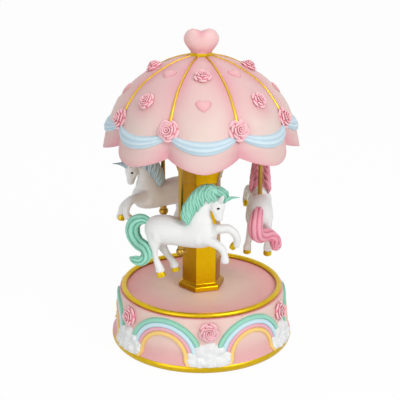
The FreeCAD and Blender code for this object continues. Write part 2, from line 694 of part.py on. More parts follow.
def unicorn_trunk():
    torso = drawn((-20.6, -7.0, 0, 1.5, 1.5), (-18.8, -6.9, 0, 5.0, 4.6), (-15.0, -6.6, 0, 7.3, 6.8),
                  (-9.5, -6.4, 0, 8.2, 7.6), (-3.0, -6.7, 0, 7.8, 7.2), (2.5, -7.3, 0, 7.4, 6.8),
                  (9.0, -6.5, 0, 8.0, 6.9), (14.5, -5.7, 0, 7.4, 6.2), (18.3, -4.8, 0, 4.8, 4.4),
                  (19.6, -4.4, 0, 1.4, 1.4))
    neck = drawn((8.8, -6.0, 0, 7.2, 5.6), (10.6, 1.0, 0, 7.4, 5.2), (11.6, 5.6, 0, 5.2, 4.2),
                 (13.6, 10.4, 0, 4.0, 3.5), (17.0, 14.0, 0, 3.2, 2.8))
    head = drawn((18.8, 16.4, 0, 1.4, 1.3), (19.6, 14.2, 0, 3.6, 2.9), (20.5, 10.8, 0, 4.2, 3.2),
                 (20.9, 7.0, 0, 3.1, 2.5), (21.3, 4.6, 0, 2.4, 2.1), (21.4, 3.0, 0, 1.9, 1.8),
                 (21.4, 2.3, 0, 1.0, 1.0))
    return [torso, neck, head]


def unicorn_legs():
    near_hind = drawn((-13.6, -7.9, 3.0, 5.6, 3.8), (-13.4, -12.1, 4.0, 4.2, 3.4), (-12.9, -16.5, 4.6, 2.4, 2.5),
                      (-12.8, -20.0, 5.0, 1.8, 1.9), (-11.6, -24.2, 5.0, 2.1, 2.1),
                      (-10.6, -27.9, 5.0, 2.6, 2.5), (-9.4, -32.2, 5.0, 2.4, 2.3))
    far_hind = drawn((-12.4, -11.0, -3.0, 4.6, 3.6), (-12.9, -17.2, -4.4, 2.9, 2.7),
                     (-10.5, -22.7, -5.6, 1.9, 2.0), (-7.8, -26.2, -6.2, 1.8, 1.9), (-6.5, -29.2, -6.6, 2.3, 2.2),
                     (-5.7, -32.7, -6.7, 2.1, 2.1))
    near_fore = drawn((10.8, -7.0, 2.8, 4.6, 3.4), (17.6, -8.4, 3.8, 2.9, 2.7), (22.4, -10.2, 4.2, 2.3, 2.2),
                      (25.2, -12.8, 4.2, 2.0, 2.0), (26.0, -15.6, 4.2, 1.9, 1.9),
                      (26.5, -18.1, 4.2, 2.3, 2.2), (26.7, -19.5, 4.2, 1.3, 1.3))
    far_fore = drawn((13.0, -4.9, -2.8, 4.2, 3.4), (18.6, -4.7, -5.2, 2.7, 2.6), (24.2, -4.4, -7.4, 2.3, 2.3),
                     (27.6, -6.9, -8.6, 2.1, 2.1), (29.1, -10.3, -9.3, 1.9, 1.9),
                     (28.4, -13.6, -9.5, 1.8, 1.8), (25.8, -16.4, -9.5, 1.3, 1.3))
    return [near_hind, far_hind, near_fore, far_fore]


def unicorn_hair():
    mane = drawn((24.6, 15.6, 0, 1.0, 1.4), (21.6, 17.8, 0, 2.4, 3.2), (17.0, 18.5, 0, 3.0, 4.4),
                 (11.6, 16.7, 0, 3.8, 5.2), (7.6, 12.0, 0, 4.2, 5.6), (5.8, 6.2, 0, 3.8, 5.4),
                 (4.4, 1.0, 0, 2.6, 4.4), (3.0, -2.2, 0, 0.9, 1.8))
    tail = drawn((-17.6, -3.6, 0, 1.9, 1.9), (-21.2, -2.2, -0.4, 2.6, 2.6), (-24.8, -3.0, -1.0, 3.1, 3.2),
                 (-27.8, -5.6, -1.6, 3.7, 3.6), (-29.0, -9.2, -2.0, 4.0, 3.9), (-28.0, -13.0, -1.4, 3.9, 3.9),
                 (-24.4, -15.6, 1.0, 3.8, 3.9), (-19.4, -16.6, 4.8, 3.5, 3.8), (-16.8, -19.4, 8.4, 2.9, 3.6),
                 (-19.3, -22.4, 9.6, 2.4, 3.0), (-25.5, -22.6, 9.0, 0.5, 0.7))
    horn = drawn((24.4, 14.9, 0, 1.5, 1.4), (28.6, 16.1, 0, 0.95, 0.9), (33.0, 16.7, 0, 0.3, 0.3))
    near_ear = drawn((20.8, 14.6, 2.2, 1.3, 0.9), (22.2, 17.4, 2.75, 0.8, 0.6), (22.9, 19.2, 3.1, 0.2, 0.2))
    far_ear = drawn((20.8, 14.6, -2.2, 1.3, 0.9), (22.2, 17.4, -2.75, 0.8, 0.6), (22.9, 19.2, -3.1, 0.2, 0.2))
    return [mane, tail, horn, near_ear, far_ear]


# Each unicorn is one casting with a hole for its pole
def unicorn():
    casting = joined(*(unicorn_trunk() + unicorn_legs() + unicorn_hair()))
    return casting.cut(rod(POLE_RADIUS, BALL_MIDDLE, CAPITAL_TOP, 0, -POLE_CIRCLE))


# Underside and key

def bottom_cover():
    radius = CAVITY_FOOT_RADIUS + COVER_LEDGE - FREE_GAP / 2
    holes = [rod(COVER_HOLE_RADIUS, KEY_RECESS, COVER_TOP)]
    for x, y in cover_screw_places() + movement_screw_places():
        holes.append(rod(SCREW_RADIUS, KEY_RECESS, COVER_TOP, x, y))
    return rod(radius, KEY_RECESS, COVER_TOP).cut(holes)


def screw(length, x, y):
    head = rod(SCREW_HEAD_RADIUS, KEY_RECESS - SCREW_HEAD_HEIGHT, KEY_RECESS, x, y)
    return joined(head, rod(SCREW_RADIUS, KEY_RECESS, KEY_RECESS + length, x, y))


def winding_key():
    low = KEY_GROUND_GAP
    high = low + KEY_WING_HEIGHT
    end = KEY_SPAN / 2 - KEY_WING_HEIGHT / 2
    middle = (low + high) / 2
    face = outline((-end, low), (end, low), ((KEY_SPAN / 2, middle), (end, high)), (-end, high),
                   ((-KEY_SPAN / 2, middle), (-end, low)))
    wings = face.extrude(V(0, KEY_THICKNESS, 0))
    wings.translate(V(0, -KEY_THICKNESS / 2, 0))
    hub = rod(KEY_HUB_RADIUS, low, KEY_RECESS - FREE_GAP)
    eyes = [Part.makeCylinder(KEY_EYE_RADIUS, KEY_THICKNESS * 2, V(x, -KEY_THICKNESS, middle), V(0, 1, 0))
            for x in (-end, end)]
    return joined(wings, hub).cut(eyes + [rod(ARBOR_RADIUS, middle, KEY_RECESS)])


def winding_arbor():
    start = KEY_GROUND_GAP + KEY_WING_HEIGHT / 2
    pin = rod(ARBOR_RADIUS, start, BARREL_PLATE_BOTTOM - FREE_GAP)
    hub = rod(SPRING_HUB_RADIUS, BARREL_BOTTOM + BARREL_WALL + FREE_GAP, BARREL_PLATE_BOTTOM - FREE_GAP)
    return joined(pin, hub)


# Movement

# A wheel with straight-sided teeth, one of them centred on the given angle
def toothed(teeth, module, face, angle):
    pitch = teeth * module / 2
    tip = pitch + TOOTH_ADDENDUM * module
    levels = ((pitch - module, TOOTH_ROOT_SHARE), (pitch, TOOTH_SHARE), (tip, TOOTH_TIP_SHARE))
    corners = []
    for index in range(teeth):
        middle = math.radians(angle) + 2 * math.pi * index / teeth
        for side, order in ((-1, levels), (1, levels[::-1])):
            for radius, share in order:
                turn = middle + side * math.pi * share / teeth
                corners.append(V(radius * math.cos(turn), radius * math.sin(turn), 0))
    return Part.Face(Part.makePolygon(corners + corners[:1])).extrude(V(0, 0, face))


# The same wheel stood on an axis along X
def cross_wheel(teeth, module, face, angle, start, y):
    wheel = toothed(teeth, module, face, angle)
    wheel.rotate(V(0, 0, 0), V(0, 1, 0), 90)
    wheel.translate(V(start, y, AXIS_HEIGHT))
    return wheel


# The bedplate is an L: a broad part under the barrel and the comb, and a tongue under the governor
def bedplate_sides():
    left = -CROWN_OUTER
    front = -BRACKET_SIDE - BEDPLATE_MARGIN
    back = comb_heel() + COMB_HEEL + BEDPLATE_MARGIN
    return left, front, back


def tongue_sides():
    return BRACKET_END + BEDPLATE_MARGIN, BEARING_HALF_WIDTH + BEDPLATE_MARGIN


def movement_screw_places():
    left, front, back = bedplate_sides()
    tip, edge = tongue_sides()
    inset = MOVEMENT_SCREW_INSET
    corner = (left + inset, back - inset)
    return [corner, (CYLINDER_START + inset, front + inset), (tip - inset, edge - inset)]


def movement_bedplate():
    left, front, back = bedplate_sides()
    tip, edge = tongue_sides()
    plate = block(left, CYLINDER_END + BEDPLATE_MARGIN, front, back, COVER_TOP, BEDPLATE_TOP)
    tongue = block(CYLINDER_END, tip, front, edge, COVER_TOP, BEDPLATE_TOP)
    post = block(POST_START, POST_START + BEARING_POST, -BEARING_HALF_WIDTH, BEARING_HALF_WIDTH, COVER_TOP,
                 AXIS_HEIGHT + BEARING_HALF_WIDTH)
    heel = comb_heel()
    comb_block = block(CYLINDER_START, CYLINDER_END, heel, heel + COMB_HEEL, COVER_TOP, comb_bottom())
    holes = [rod(ARBOR_RADIUS + RUNNING_FIT, COVER_TOP, BEDPLATE_TOP)]
    holes.append(cross_rod(CYLINDER_ARBOR_RADIUS + RUNNING_FIT, POST_START, CYLINDER_START, 0, AXIS_HEIGHT))
    for x, y in movement_screw_places():
        holes.append(rod(SCREW_RADIUS, COVER_TOP, COVER_TOP + MOVEMENT_SCREW_BITE, x, y))
    for x, y in comb_screw_places():
        holes.append(rod(SCREW_RADIUS, BEDPLATE_TOP, comb_bottom(), x, y))
    return joined(plate, tongue, post, comb_block).cut(holes)


def comb_heel():
    return CYLINDER_REACH + COMB_GAP + COMB_TOOTH_LENGTH


def comb_bottom():
    return AXIS_HEIGHT - COMB_THICKNESS / 2


def comb_screw_places():
    quarter = CYLINDER_LENGTH / 4
    middle = comb_heel() + COMB_HEEL / 2
    return [(CYLINDER_START + quarter, middle), (CYLINDER_END - quarter, middle)]


def comb():
    tip = comb_heel() - COMB_TOOTH_LENGTH
    bottom = comb_bottom()
    plate = block(CYLINDER_START, CYLINDER_END, tip, comb_heel() + COMB_HEEL, bottom, bottom + COMB_THICKNESS)
    pitch = CYLINDER_LENGTH / CYLINDER_TRACKS
    cuts = []
    for index in range(1, CYLINDER_TRACKS):
        x = CYLINDER_START + pitch * index
        end = comb_heel() - COMB_SLOT_STEP * index
        cuts.append(block(x - COMB_SLOT / 2, x + COMB_SLOT / 2, tip, end, bottom, bottom + COMB_THICKNESS))
    for x, y in comb_screw_places():
        cuts.append(rod(SCREW_RADIUS, bottom, bottom + COMB_THICKNESS, x, y))
    return plate.cut(cuts)


def comb_screw(x, y):
    seat = comb_bottom() + COMB_THICKNESS
    head = rod(COMB_SCREW_HEAD_RADIUS, seat, seat + SCREW_HEAD_HEIGHT, x, y)
    return joined(head, rod(SCREW_RADIUS, BEDPLATE_TOP, seat, x, y))


def governor_bracket():
    low = -BRACKET_SIDE
    high = low + 2 * BEARING_HALF_WIDTH
    top = AXIS_HEIGHT + BEARING_HALF_WIDTH
    inner_end = BRACKET_START + BRACKET_THICKNESS
    inner = block(BRACKET_START, inner_end, low, BEARING_HALF_WIDTH, BEDPLATE_TOP, top)
    outer = block(BRACKET_END - BRACKET_THICKNESS, BRACKET_END, low, high, BEDPLATE_TOP, top)
    foot = block(BRACKET_START, BRACKET_END, low, high, BEDPLATE_TOP, BEDPLATE_TOP + BRACKET_THICKNESS)
    bore = GOVERNOR_ARBOR_RADIUS + RUNNING_FIT
    holes = [cross_rod(bore, BRACKET_START, BRACKET_END, -GOVERNOR_OFFSET, AXIS_HEIGHT)]
    holes.append(cross_rod(CYLINDER_ARBOR_RADIUS + RUNNING_FIT, BRACKET_START, inner_end, 0, AXIS_HEIGHT))
    return joined(inner, outer, foot).cut(holes)


# Rings of wire wrapped on the winding arbor
def ratchet_spring():
    turns = []
    radius = ARBOR_RADIUS + RUNNING_FIT + RATCHET_WIRE_RADIUS
    for index in range(RATCHET_TURNS):
        height = BEDPLATE_TOP + RATCHET_WIRE_RADIUS * (1 + 2 * index)
        turns.append(Part.makeTorus(radius, RATCHET_WIRE_RADIUS, V(0, 0, height)))
    return turns


def deck_bush():
    top = DECK_HEIGHT + BUSH_FLANGE
    sleeve = joined(rod(BUSH_RADIUS, CEILING, DECK_HEIGHT), rod(BUSH_FLANGE_RADIUS, DECK_HEIGHT, top))
    return sleeve.cut(rod(SHAFT_RADIUS + RUNNING_FIT, CEILING, top))


def crown_tooth():
    pitch = 2 * math.pi * CROWN_PITCH / CROWN_TEETH
    tip_height = MESH_HEIGHT - CROWN_ADDENDUM * CROWN_MODULE
    corners = []
    for share, height in ((-CROWN_ROOT_SHARE, BARREL_PLATE_BOTTOM), (CROWN_ROOT_SHARE, BARREL_PLATE_BOTTOM),
                          (CROWN_TIP_SHARE, tip_height), (-CROWN_TIP_SHARE, tip_height)):
        corners.append(V(CROWN_INNER, pitch * share, height))
    return Part.Face(Part.makePolygon(corners + corners[:1])).extrude(V(CROWN_FACE - CROWN_RIM, 0, 0))


# The barrel is a drum under a wide plate that carries the crown teeth, pointing down
def spring_barrel():
    plate = rod(CROWN_OUTER, BARREL_PLATE_BOTTOM, BARREL_TOP)
    drum = rod(BARREL_RADIUS, BARREL_BOTTOM, BARREL_PLATE_BOTTOM)
    hollow = rod(BARREL_RADIUS - BARREL_WALL, BARREL_BOTTOM, BARREL_PLATE_BOTTOM)
    whole = joined(plate, drum.cut(hollow), *ring_of(crown_tooth(), CROWN_TEETH))
    return whole.cut(rod(SHAFT_RADIUS, BARREL_PLATE_BOTTOM, BARREL_TOP))


def barrel_cap():
    cap = rod(BARREL_RADIUS - BARREL_WALL, BARREL_BOTTOM, BARREL_BOTTOM + BARREL_WALL)
    return cap.cut(rod(ARBOR_RADIUS + RUNNING_FIT, BARREL_BOTTOM, BARREL_BOTTOM + BARREL_WALL))


# Half turns about two centres, half a pitch apart, as many as the barrel has room for
def spring_arcs(offset, bottom):
    start = SPRING_HUB_RADIUS + FREE_GAP
    room = BARREL_RADIUS - BARREL_WALL - FREE_GAP - start - SPRING_STRIP
    step = SPRING_PITCH / 2
    arcs = []
    for index in range(int(room / step)):
        centre = V(step * (index % 2), 0, bottom)
        side = V(start + offset + step * index, 0, 0) * (1 - 2 * (index % 2))
        top = V(0, side.x, 0)
        arcs.append(Part.Arc(centre + side, centre + top, centre - side).toShape())
    return arcs


def mainspring():
    bottom = BARREL_BOTTOM + BARREL_WALL + FREE_GAP
    inner = spring_arcs(0, bottom)
    outer = spring_arcs(SPRING_STRIP, bottom)
    ends = [Part.makeLine(inner[0].Vertexes[0].Point, outer[0].Vertexes[0].Point),
            Part.makeLine(inner[-1].Vertexes[-1].Point, outer[-1].Vertexes[-1].Point)]
    face = Part.Face(Part.Wire(Part.__sortEdges__(inner + outer + ends)))
    return face.extrude(V(0, 0, BARREL_PLATE_BOTTOM - FREE_GAP - bottom))


def music_cylinder():
    drum = cross_rod(CYLINDER_RADIUS, CYLINDER_START, CYLINDER_END, 0, AXIS_HEIGHT)
    pins = []
    pitch = CYLINDER_LENGTH / CYLINDER_TRACKS
    for track in range(CYLINDER_TRACKS):
        x = CYLINDER_START + pitch * (track + 0.5)
        for index in range(TRACK_PINS):
            turn = math.radians(track * TRACK_TURN + 360.0 / TRACK_PINS * index)
            out = V(0, math.cos(turn), math.sin(turn))
            foot = V(x, 0, AXIS_HEIGHT) + out * (CYLINDER_RADIUS - PIN_HEIGHT)
            pins.append(Part.makeCylinder(PIN_RADIUS, PIN_HEIGHT * 2, foot, out))
    bore = cross_rod(CYLINDER_ARBOR_RADIUS, CYLINDER_START, CYLINDER_END, 0, AXIS_HEIGHT)
    return joined(drum, *pins).cut(bore)


def cylinder_arbor():
    start = CROWN_PITCH - PINION_FACE / 2
    return cross_rod(CYLINDER_ARBOR_RADIUS, start, BRACKET_START + BRACKET_THICKNESS, 0, AXIS_HEIGHT)


# One gap of the pinion faces up, under the crown tooth that points along X
def cylinder_pinion():
    start = CROWN_PITCH - PINION_FACE / 2
    pinion = cross_wheel(PINION_TEETH, CROWN_MODULE, PINION_FACE, 180.0 / PINION_TEETH, start, 0)
    return pinion.cut(cross_rod(CYLINDER_ARBOR_RADIUS, start, start + PINION_FACE, 0, AXIS_HEIGHT))


def cylinder_wheel():
    wheel = cross_wheel(WHEEL_TEETH, WHEEL_MODULE, WHEEL_FACE, -90, WHEEL_START, 0)
    return wheel.cut(cross_rod(CYLINDER_ARBOR_RADIUS, WHEEL_START, WHEEL_START + WHEEL_FACE, 0, AXIS_HEIGHT))


def governor_arbor():
    arbor = cross_rod(GOVERNOR_ARBOR_RADIUS, WHEEL_START, BRACKET_END, -GOVERNOR_OFFSET, AXIS_HEIGHT)
    angle = 90 + 180.0 / GOVERNOR_TEETH
    pinion = cross_wheel(GOVERNOR_TEETH, WHEEL_MODULE, WHEEL_FACE, angle, WHEEL_START, -GOVERNOR_OFFSET)
    return joined(arbor, pinion)


def governor_fly():
    y = -GOVERNOR_OFFSET
    half = FLY_THICKNESS / 2
    wings = block(FLY_START, FLY_END, y - FLY_RADIUS, y + FLY_RADIUS, AXIS_HEIGHT - half, AXIS_HEIGHT + half)
    sleeve = cross_rod(GOVERNOR_ARBOR_RADIUS + FLY_SLEEVE_WALL, FLY_START, FLY_END, y, AXIS_HEIGHT)
    return joined(wings, sleeve).cut(cross_rod(GOVERNOR_ARBOR_RADIUS, FLY_START, FLY_END, y, AXIS_HEIGHT))


os.makedirs("parts", exist_ok=True)

save("base_shell", base_shell())
save("foot_rim", foot_rim())
save("deck_ring", deck_ring())
clouds = ring_of(cloud(), BASE_REPEATS, BASE_TURN)
save("cloud_reliefs", *clouds)
neighbours = [turned(clouds[0], -BASE_TURN), turned(clouds[1], -BASE_TURN)]
for colour, band in rainbow_bands(neighbours).items():
    save("rainbow_" + colour, *ring_of(band, BASE_REPEATS, BASE_TURN))
save("base_roses", *ring_of(base_rose(neighbours[0]), BASE_REPEATS, BASE_TURN))

dome = canopy_plug(0)
save("canopy_shell", canopy_shell(dome))
rib = canopy_rib(dome)
ring = crown_ring(dome)
ribs = ring_of(rib.cut(ring), CANOPY_PANELS)
front_rose = rib_rose(dome, [ribs[0]])
rib_roses = ring_of(front_rose, CANOPY_PANELS)
save("canopy_ribs", *[turned(shape, CANOPY_TURN) for shape in ribs])
finial = heart_finial()
save("crown_ring", turned(ring, CANOPY_TURN).cut(finial))
save("rib_roses", *[turned(shape, CANOPY_TURN) for shape in rib_roses])
garland = swag(dome).cut([rib_roses[0], rib_roses[-1]])
save("swags", *ring_of(garland, CANOPY_PANELS, CANOPY_TURN))
flower = rose(PANEL_ROSE_RADIUS)
heart = heart_relief(HEART_WIDTH, HEART_HEIGHT, HEART_RELIEF)
roses = ring_of(panel_ornament(flower, TOP_ORNAMENT_RISE, dome), CANOPY_PANELS, CANOPY_TURN)
roses[1::2] = ring_of(panel_ornament(flower, MID_ORNAMENT_RISE, dome), CANOPY_PANELS, CANOPY_TURN)[1::2]
save("panel_roses", *roses)
hearts = ring_of(panel_ornament(heart, MID_ORNAMENT_RISE, dome), CANOPY_PANELS, CANOPY_TURN)
hearts[1::2] = ring_of(panel_ornament(heart, TOP_ORNAMENT_RISE, dome), CANOPY_PANELS, CANOPY_TURN)[1::2]
save("panel_hearts", *hearts)
save("heart_finial", finial)
half_pin = FINIAL_PIN_LENGTH / 2
save("finial_pin", rod(FINIAL_PIN_RADIUS, CROWN_HEIGHT - half_pin, CROWN_HEIGHT + half_pin))
save("column", column())

casting = unicorn()
for (name, turn, lift), angle in zip(UNICORNS, pole_angles()):
    figure = casting.copy()
    figure.rotate(V(0, -POLE_CIRCLE, 0), V(0, 0, 1), turn)
    nut = ball(figure)
    for shape in (figure, nut):
        shape.translate(V(0, 0, lift))
    save("pole_" + name, turned(pole(lift), angle))
    save("ball_" + name, turned(nut, angle))
    save("unicorn_" + name, turned(figure, angle))

save("bottom_cover", bottom_cover())
save("cover_screws", *[screw(SCREW_LENGTH, x, y) for x, y in cover_screw_places()])
bite = COVER_THICKNESS + MOVEMENT_SCREW_BITE
save("movement_screws", *[screw(bite, x, y) for x, y in movement_screw_places()])
save("winding_key", winding_key())
save("winding_arbor", winding_arbor())
save("movement_bedplate", movement_bedplate())
save("comb", comb())
save("comb_screws", *[comb_screw(x, y) for x, y in comb_screw_places()])
save("governor_bracket", governor_bracket())
save("ratchet_spring", *ratchet_spring())
save("deck_bush", deck_bush())
save("spring_barrel", spring_barrel())
save("barrel_cap", barrel_cap())
save("mainspring", mainspring())
save("output_shaft", rod(SHAFT_RADIUS, BARREL_PLATE_BOTTOM, SHAFT_TOP))
save("music_cylinder", music_cylinder())
save("cylinder_arbor", cylinder_arbor())
save("cylinder_pinion", cylinder_pinion())
save("cylinder_wheel", cylinder_wheel())
save("governor_arbor", governor_arbor())
save("governor_fly", governor_fly())
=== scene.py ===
import math
import random

import bmesh
import bpy
from mathutils import Matrix, Vector


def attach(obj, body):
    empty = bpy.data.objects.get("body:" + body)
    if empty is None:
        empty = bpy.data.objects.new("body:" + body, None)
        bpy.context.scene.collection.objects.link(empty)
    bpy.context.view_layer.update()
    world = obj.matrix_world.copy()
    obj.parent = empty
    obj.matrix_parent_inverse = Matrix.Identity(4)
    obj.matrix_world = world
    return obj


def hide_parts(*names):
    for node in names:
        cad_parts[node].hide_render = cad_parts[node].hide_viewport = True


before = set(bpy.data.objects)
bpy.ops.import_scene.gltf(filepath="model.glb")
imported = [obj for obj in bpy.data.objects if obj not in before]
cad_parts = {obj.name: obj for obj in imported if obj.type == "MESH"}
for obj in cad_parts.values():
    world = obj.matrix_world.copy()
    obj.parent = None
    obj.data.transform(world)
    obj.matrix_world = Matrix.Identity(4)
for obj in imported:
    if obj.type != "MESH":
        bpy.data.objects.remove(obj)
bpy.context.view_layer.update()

# Studio: a sheet of matt white paper under soft lamps, seen as in the photograph from 19 degrees above.
# The key lamp stands to the right of the camera, a weaker one low to its left and a third over the object,
# and an even sky fills the rest.
MM = 0.001
PAPER_WHITE = 0.965
LAMP_AIM = Vector((0, 0, 0.08))


def linear(code):
    values = [int(code[i:i + 2], 16) / 255 for i in (1, 3, 5)]
    return tuple(v / 12.92 if v <= 0.04045 else ((v + 0.055) / 1.055) ** 2.4 for v in values) + (1.0,)


def add(tree, kind, inputs=None, **settings):
    node = tree.nodes.new(kind)
    for name, value in settings.items():
        setattr(node, name, value)
    for key, value in (inputs or {}).items():
        if isinstance(value, bpy.types.NodeSocket):
            tree.links.new(value, node.inputs[key])
        else:
            node.inputs[key].default_value = value
    return node


scene = bpy.context.scene
scene.view_settings.view_transform = "Standard"
camera_data = bpy.data.cameras.new("camera")
camera_data.lens = 94.33
camera_data.sensor_width = 36.0
camera_data.shift_x = -0.0035
camera_data.clip_start = 0.01
camera = bpy.data.objects.new("camera", camera_data)
camera.location = (0, -558.96 * MM, 276.35 * MM)
camera.rotation_euler = (math.radians(70.853), 0, 0)
scene.collection.objects.link(camera)
scene.camera = camera

for name, place, watts, size in (("key", (0.6, -0.7, 0.7), 5.7, 0.5), ("fill", (-0.55, -0.86, 0.26), 3.1, 0.7),
                                 ("top", (0.0, 0.15, 1.0), 2.5, 0.7)):
    lamp_data = bpy.data.lights.new(name, "AREA")
    lamp_data.energy = watts
    lamp_data.size = size
    lamp = bpy.data.objects.new(name, lamp_data)
    lamp.location = place
    lamp.rotation_euler = (LAMP_AIM - Vector(place)).to_track_quat("-Z", "Y").to_euler()
    scene.collection.objects.link(lamp)


# A ray from the eye sees plain white paper, straight or mirrored in metal
def seen_directly(tree):
    rays = add(tree, "ShaderNodeLightPath").outputs
    mirrored = add(tree, "ShaderNodeMath", {0: rays["Is Glossy Ray"], 1: rays["Is Transmission Ray"]},
                   operation="MAXIMUM")
    seen = add(tree, "ShaderNodeMath", {0: rays["Is Camera Ray"], 1: mirrored.outputs[0]}, operation="MAXIMUM")
    return seen.outputs[0]


world = bpy.data.worlds.new("studio_sky")
scene.world = world
world.use_nodes = True
sky = world.node_tree
sky.nodes.clear()
soft = add(sky, "ShaderNodeBackground", {"Color": linear("#f4f4f6"), "Strength": 0.38})
white = add(sky, "ShaderNodeBackground", {"Color": (1, 1, 1, 1), "Strength": 1.0})
mixed = add(sky, "ShaderNodeMixShader", {0: seen_directly(sky), 1: soft.outputs[0], 2: white.outputs[0]})
add(sky, "ShaderNodeOutputWorld", {"Surface": mixed.outputs[0]})


def bare_material(name):
    material = bpy.data.materials.new(name)
    material.use_nodes = True
    material.node_tree.nodes.clear()
    return material, material.node_tree


paper, sheet = bare_material("white_paper_sweep")
matt = add(sheet, "ShaderNodeBsdfDiffuse", {"Color": linear("#f2f2f2")})
lit = add(sheet, "ShaderNodeEmission", {"Color": (1, 1, 1, 1), "Strength": 1.0})
share = add(sheet, "ShaderNodeMath", {0: seen_directly(sheet), 1: PAPER_WHITE}, operation="MULTIPLY")
blank = add(sheet, "ShaderNodeMixShader", {0: share.outputs[0], 1: matt.outputs[0], 2: lit.outputs[0]})
add(sheet, "ShaderNodeOutputMaterial", {"Surface": blank.outputs[0]})
floor_mesh = bpy.data.meshes.new("floor")
floor_mesh.from_pydata([(-4, -4, 0), (4, -4, 0), (4, 4, 0), (-4, 4, 0)], [], [(0, 1, 2, 3)])
floor_mesh.materials.append(paper)
floor = bpy.data.objects.new("floor", floor_mesh)
scene.collection.objects.link(floor)


# Base drum: a hollow casting in polyester resin with the deck as its top, sprayed a peachy pink and shaded
# deeper by airbrush, the deck in a lighter coat. The spray leaves a satin skin with a faint orange peel and
# small drifts of colour. Three bosses inside take the screws of the bottom cover.
BASE_TURN = 4.8
FOOT_TOP = 4.4
FLARE_TOP = 11.5
DECK = 30.5
FOOT_RADIUS = 50.0
FLARE_RADIUS = 49.7
DECK_RADIUS = 47.1
SHAFT_HOLE = 3.5
CEILING = 28.0
COVER_SEAT = 10.5
COVER_RADIUS = 46.7
BOSS_CIRCLE = 41.6


# How much of a paint's deeper colour lies on each point, as airbrushed blush or as painted shade
def tint(mesh, blush_and_shade):
    mesh.attributes.new("blush_and_shade", "FLOAT", "POINT").data.foreach_set("value", blush_and_shade)


def piece(name, points, faces, blush_and_shade=None):
    mesh = bpy.data.meshes.new(name)
    mesh.from_pydata([Vector(p) * MM for p in points], [], faces)
    mesh.shade_smooth()
    if blush_and_shade is not None:
        tint(mesh, blush_and_shade)
    made = bpy.data.objects.new(name, mesh)
    scene.collection.objects.link(made)
    return made


# A satin coat whose deeper colour lies where the mask of blush and painted shade says, with soft drifts of tone and
# gloss
def painted_resin(name, pale, deep, roughness, drift_mm=9.0, grain_mm=0.5, bump=0.12, sheen=0.35):
    material, tree = bare_material(name)
    place = add(tree, "ShaderNodeTexCoord").outputs["Object"]
    mask = add(tree, "ShaderNodeAttribute", attribute_name="blush_and_shade").outputs["Fac"]
    drift = add(tree, "ShaderNodeTexNoise", {"Vector": place, "Scale": 1 / (drift_mm * MM), "Detail": 3.0})
    shift = add(tree, "ShaderNodeMath", {0: drift.outputs["Fac"], 1: 0.3, 2: -0.15}, operation="MULTIPLY_ADD")
    amount = add(tree, "ShaderNodeMath", {0: mask, 1: shift.outputs[0]}, operation="ADD", use_clamp=True)
    colour = add(tree, "ShaderNodeMix", {"Factor": amount.outputs[0], "A": linear(pale), "B": linear(deep)},
                 data_type="RGBA")
    grain = add(tree, "ShaderNodeTexNoise", {"Vector": place, "Scale": 1 / (grain_mm * MM), "Detail": 2.0})
    rough = add(tree, "ShaderNodeMapRange", {"Value": drift.outputs["Fac"], "To Min": roughness - 0.06,
                                             "To Max": roughness + 0.08})
    skin = add(tree, "ShaderNodeBump", {"Height": grain.outputs["Fac"], "Strength": bump, "Distance": 0.15 * MM})
    surface = add(tree, "ShaderNodeBsdfPrincipled", {
        "Base Color": colour.outputs["Result"], "Roughness": rough.outputs[0], "Normal": skin.outputs[0],
        "IOR": 1.5, "Specular IOR Level": sheen})
    add(tree, "ShaderNodeOutputMaterial", {"Surface": surface.outputs[0]})
    return material


# Faces all round an upright axis, between closed sections of so many points
def turned_faces(steps, count):
    faces = []
    for step in range(steps):
        here = step * count
        there = (step + 1) % steps * count
        for index in range(count):
            after = (index + 1) % count
            faces.append((here + index, there + index, there + after, here + after))
    return faces


# A closed section, given as radius and height, turned about the upright axis
def lathed(section, steps):
    points = []
    for step in range(steps):
        turn = 2 * math.pi * step / steps
        points += [(r * math.sin(turn), -r * math.cos(turn), z) for r, z in section]
    return points, turned_faces(steps, len(section))


# Adds a turned form with an axis of its own to a list of points and one of faces
def add_lathed(points, faces, section, steps, x, y):
    form, rings = lathed(section, steps)
    faces += [tuple(i + len(points) for i in ring) for ring in rings]
    points += [(px + x, py + y, pz) for px, py, pz in form]


def smooth_step(low, high, value):
    share = min(max((value - low) / (high - low), 0.0), 1.0)
    return share * share * (3 - 2 * share)


# The wall leans in towards the deck and flares out to the foot
def wall_radius(height):
    share = (height - FLARE_TOP) / (DECK - FLARE_TOP)
    if height < FLARE_TOP:
        low = (FLARE_TOP - height) / (FLARE_TOP - FOOT_TOP)
        return FLARE_RADIUS - 0.36 * share + 2.1 * low ** 2.2
    return FLARE_RADIUS - (FLARE_RADIUS - DECK_RADIUS) * share


def on_deck(z):
    return z > DECK - 0.1


# Paler along the top of the wall and over the deck's middle, pinker towards the foot and the deck's rim, and
# with a pink halo behind each rose
def drum_blush(x, y, z):
    if on_deck(z):
        return 0.1 + 0.85 * smooth_step(18, 46, math.hypot(x, y))
    angle = (math.atan2(x, -y) - math.radians(BASE_TURN) + math.pi / 6) % (math.pi / 3) - math.pi / 6
    halo = math.exp(-(angle / 0.15) ** 2 - ((z - 24.5) / 7) ** 2)
    return 0.15 + 0.7 * smooth_step(19, 5, z) + 0.45 * halo


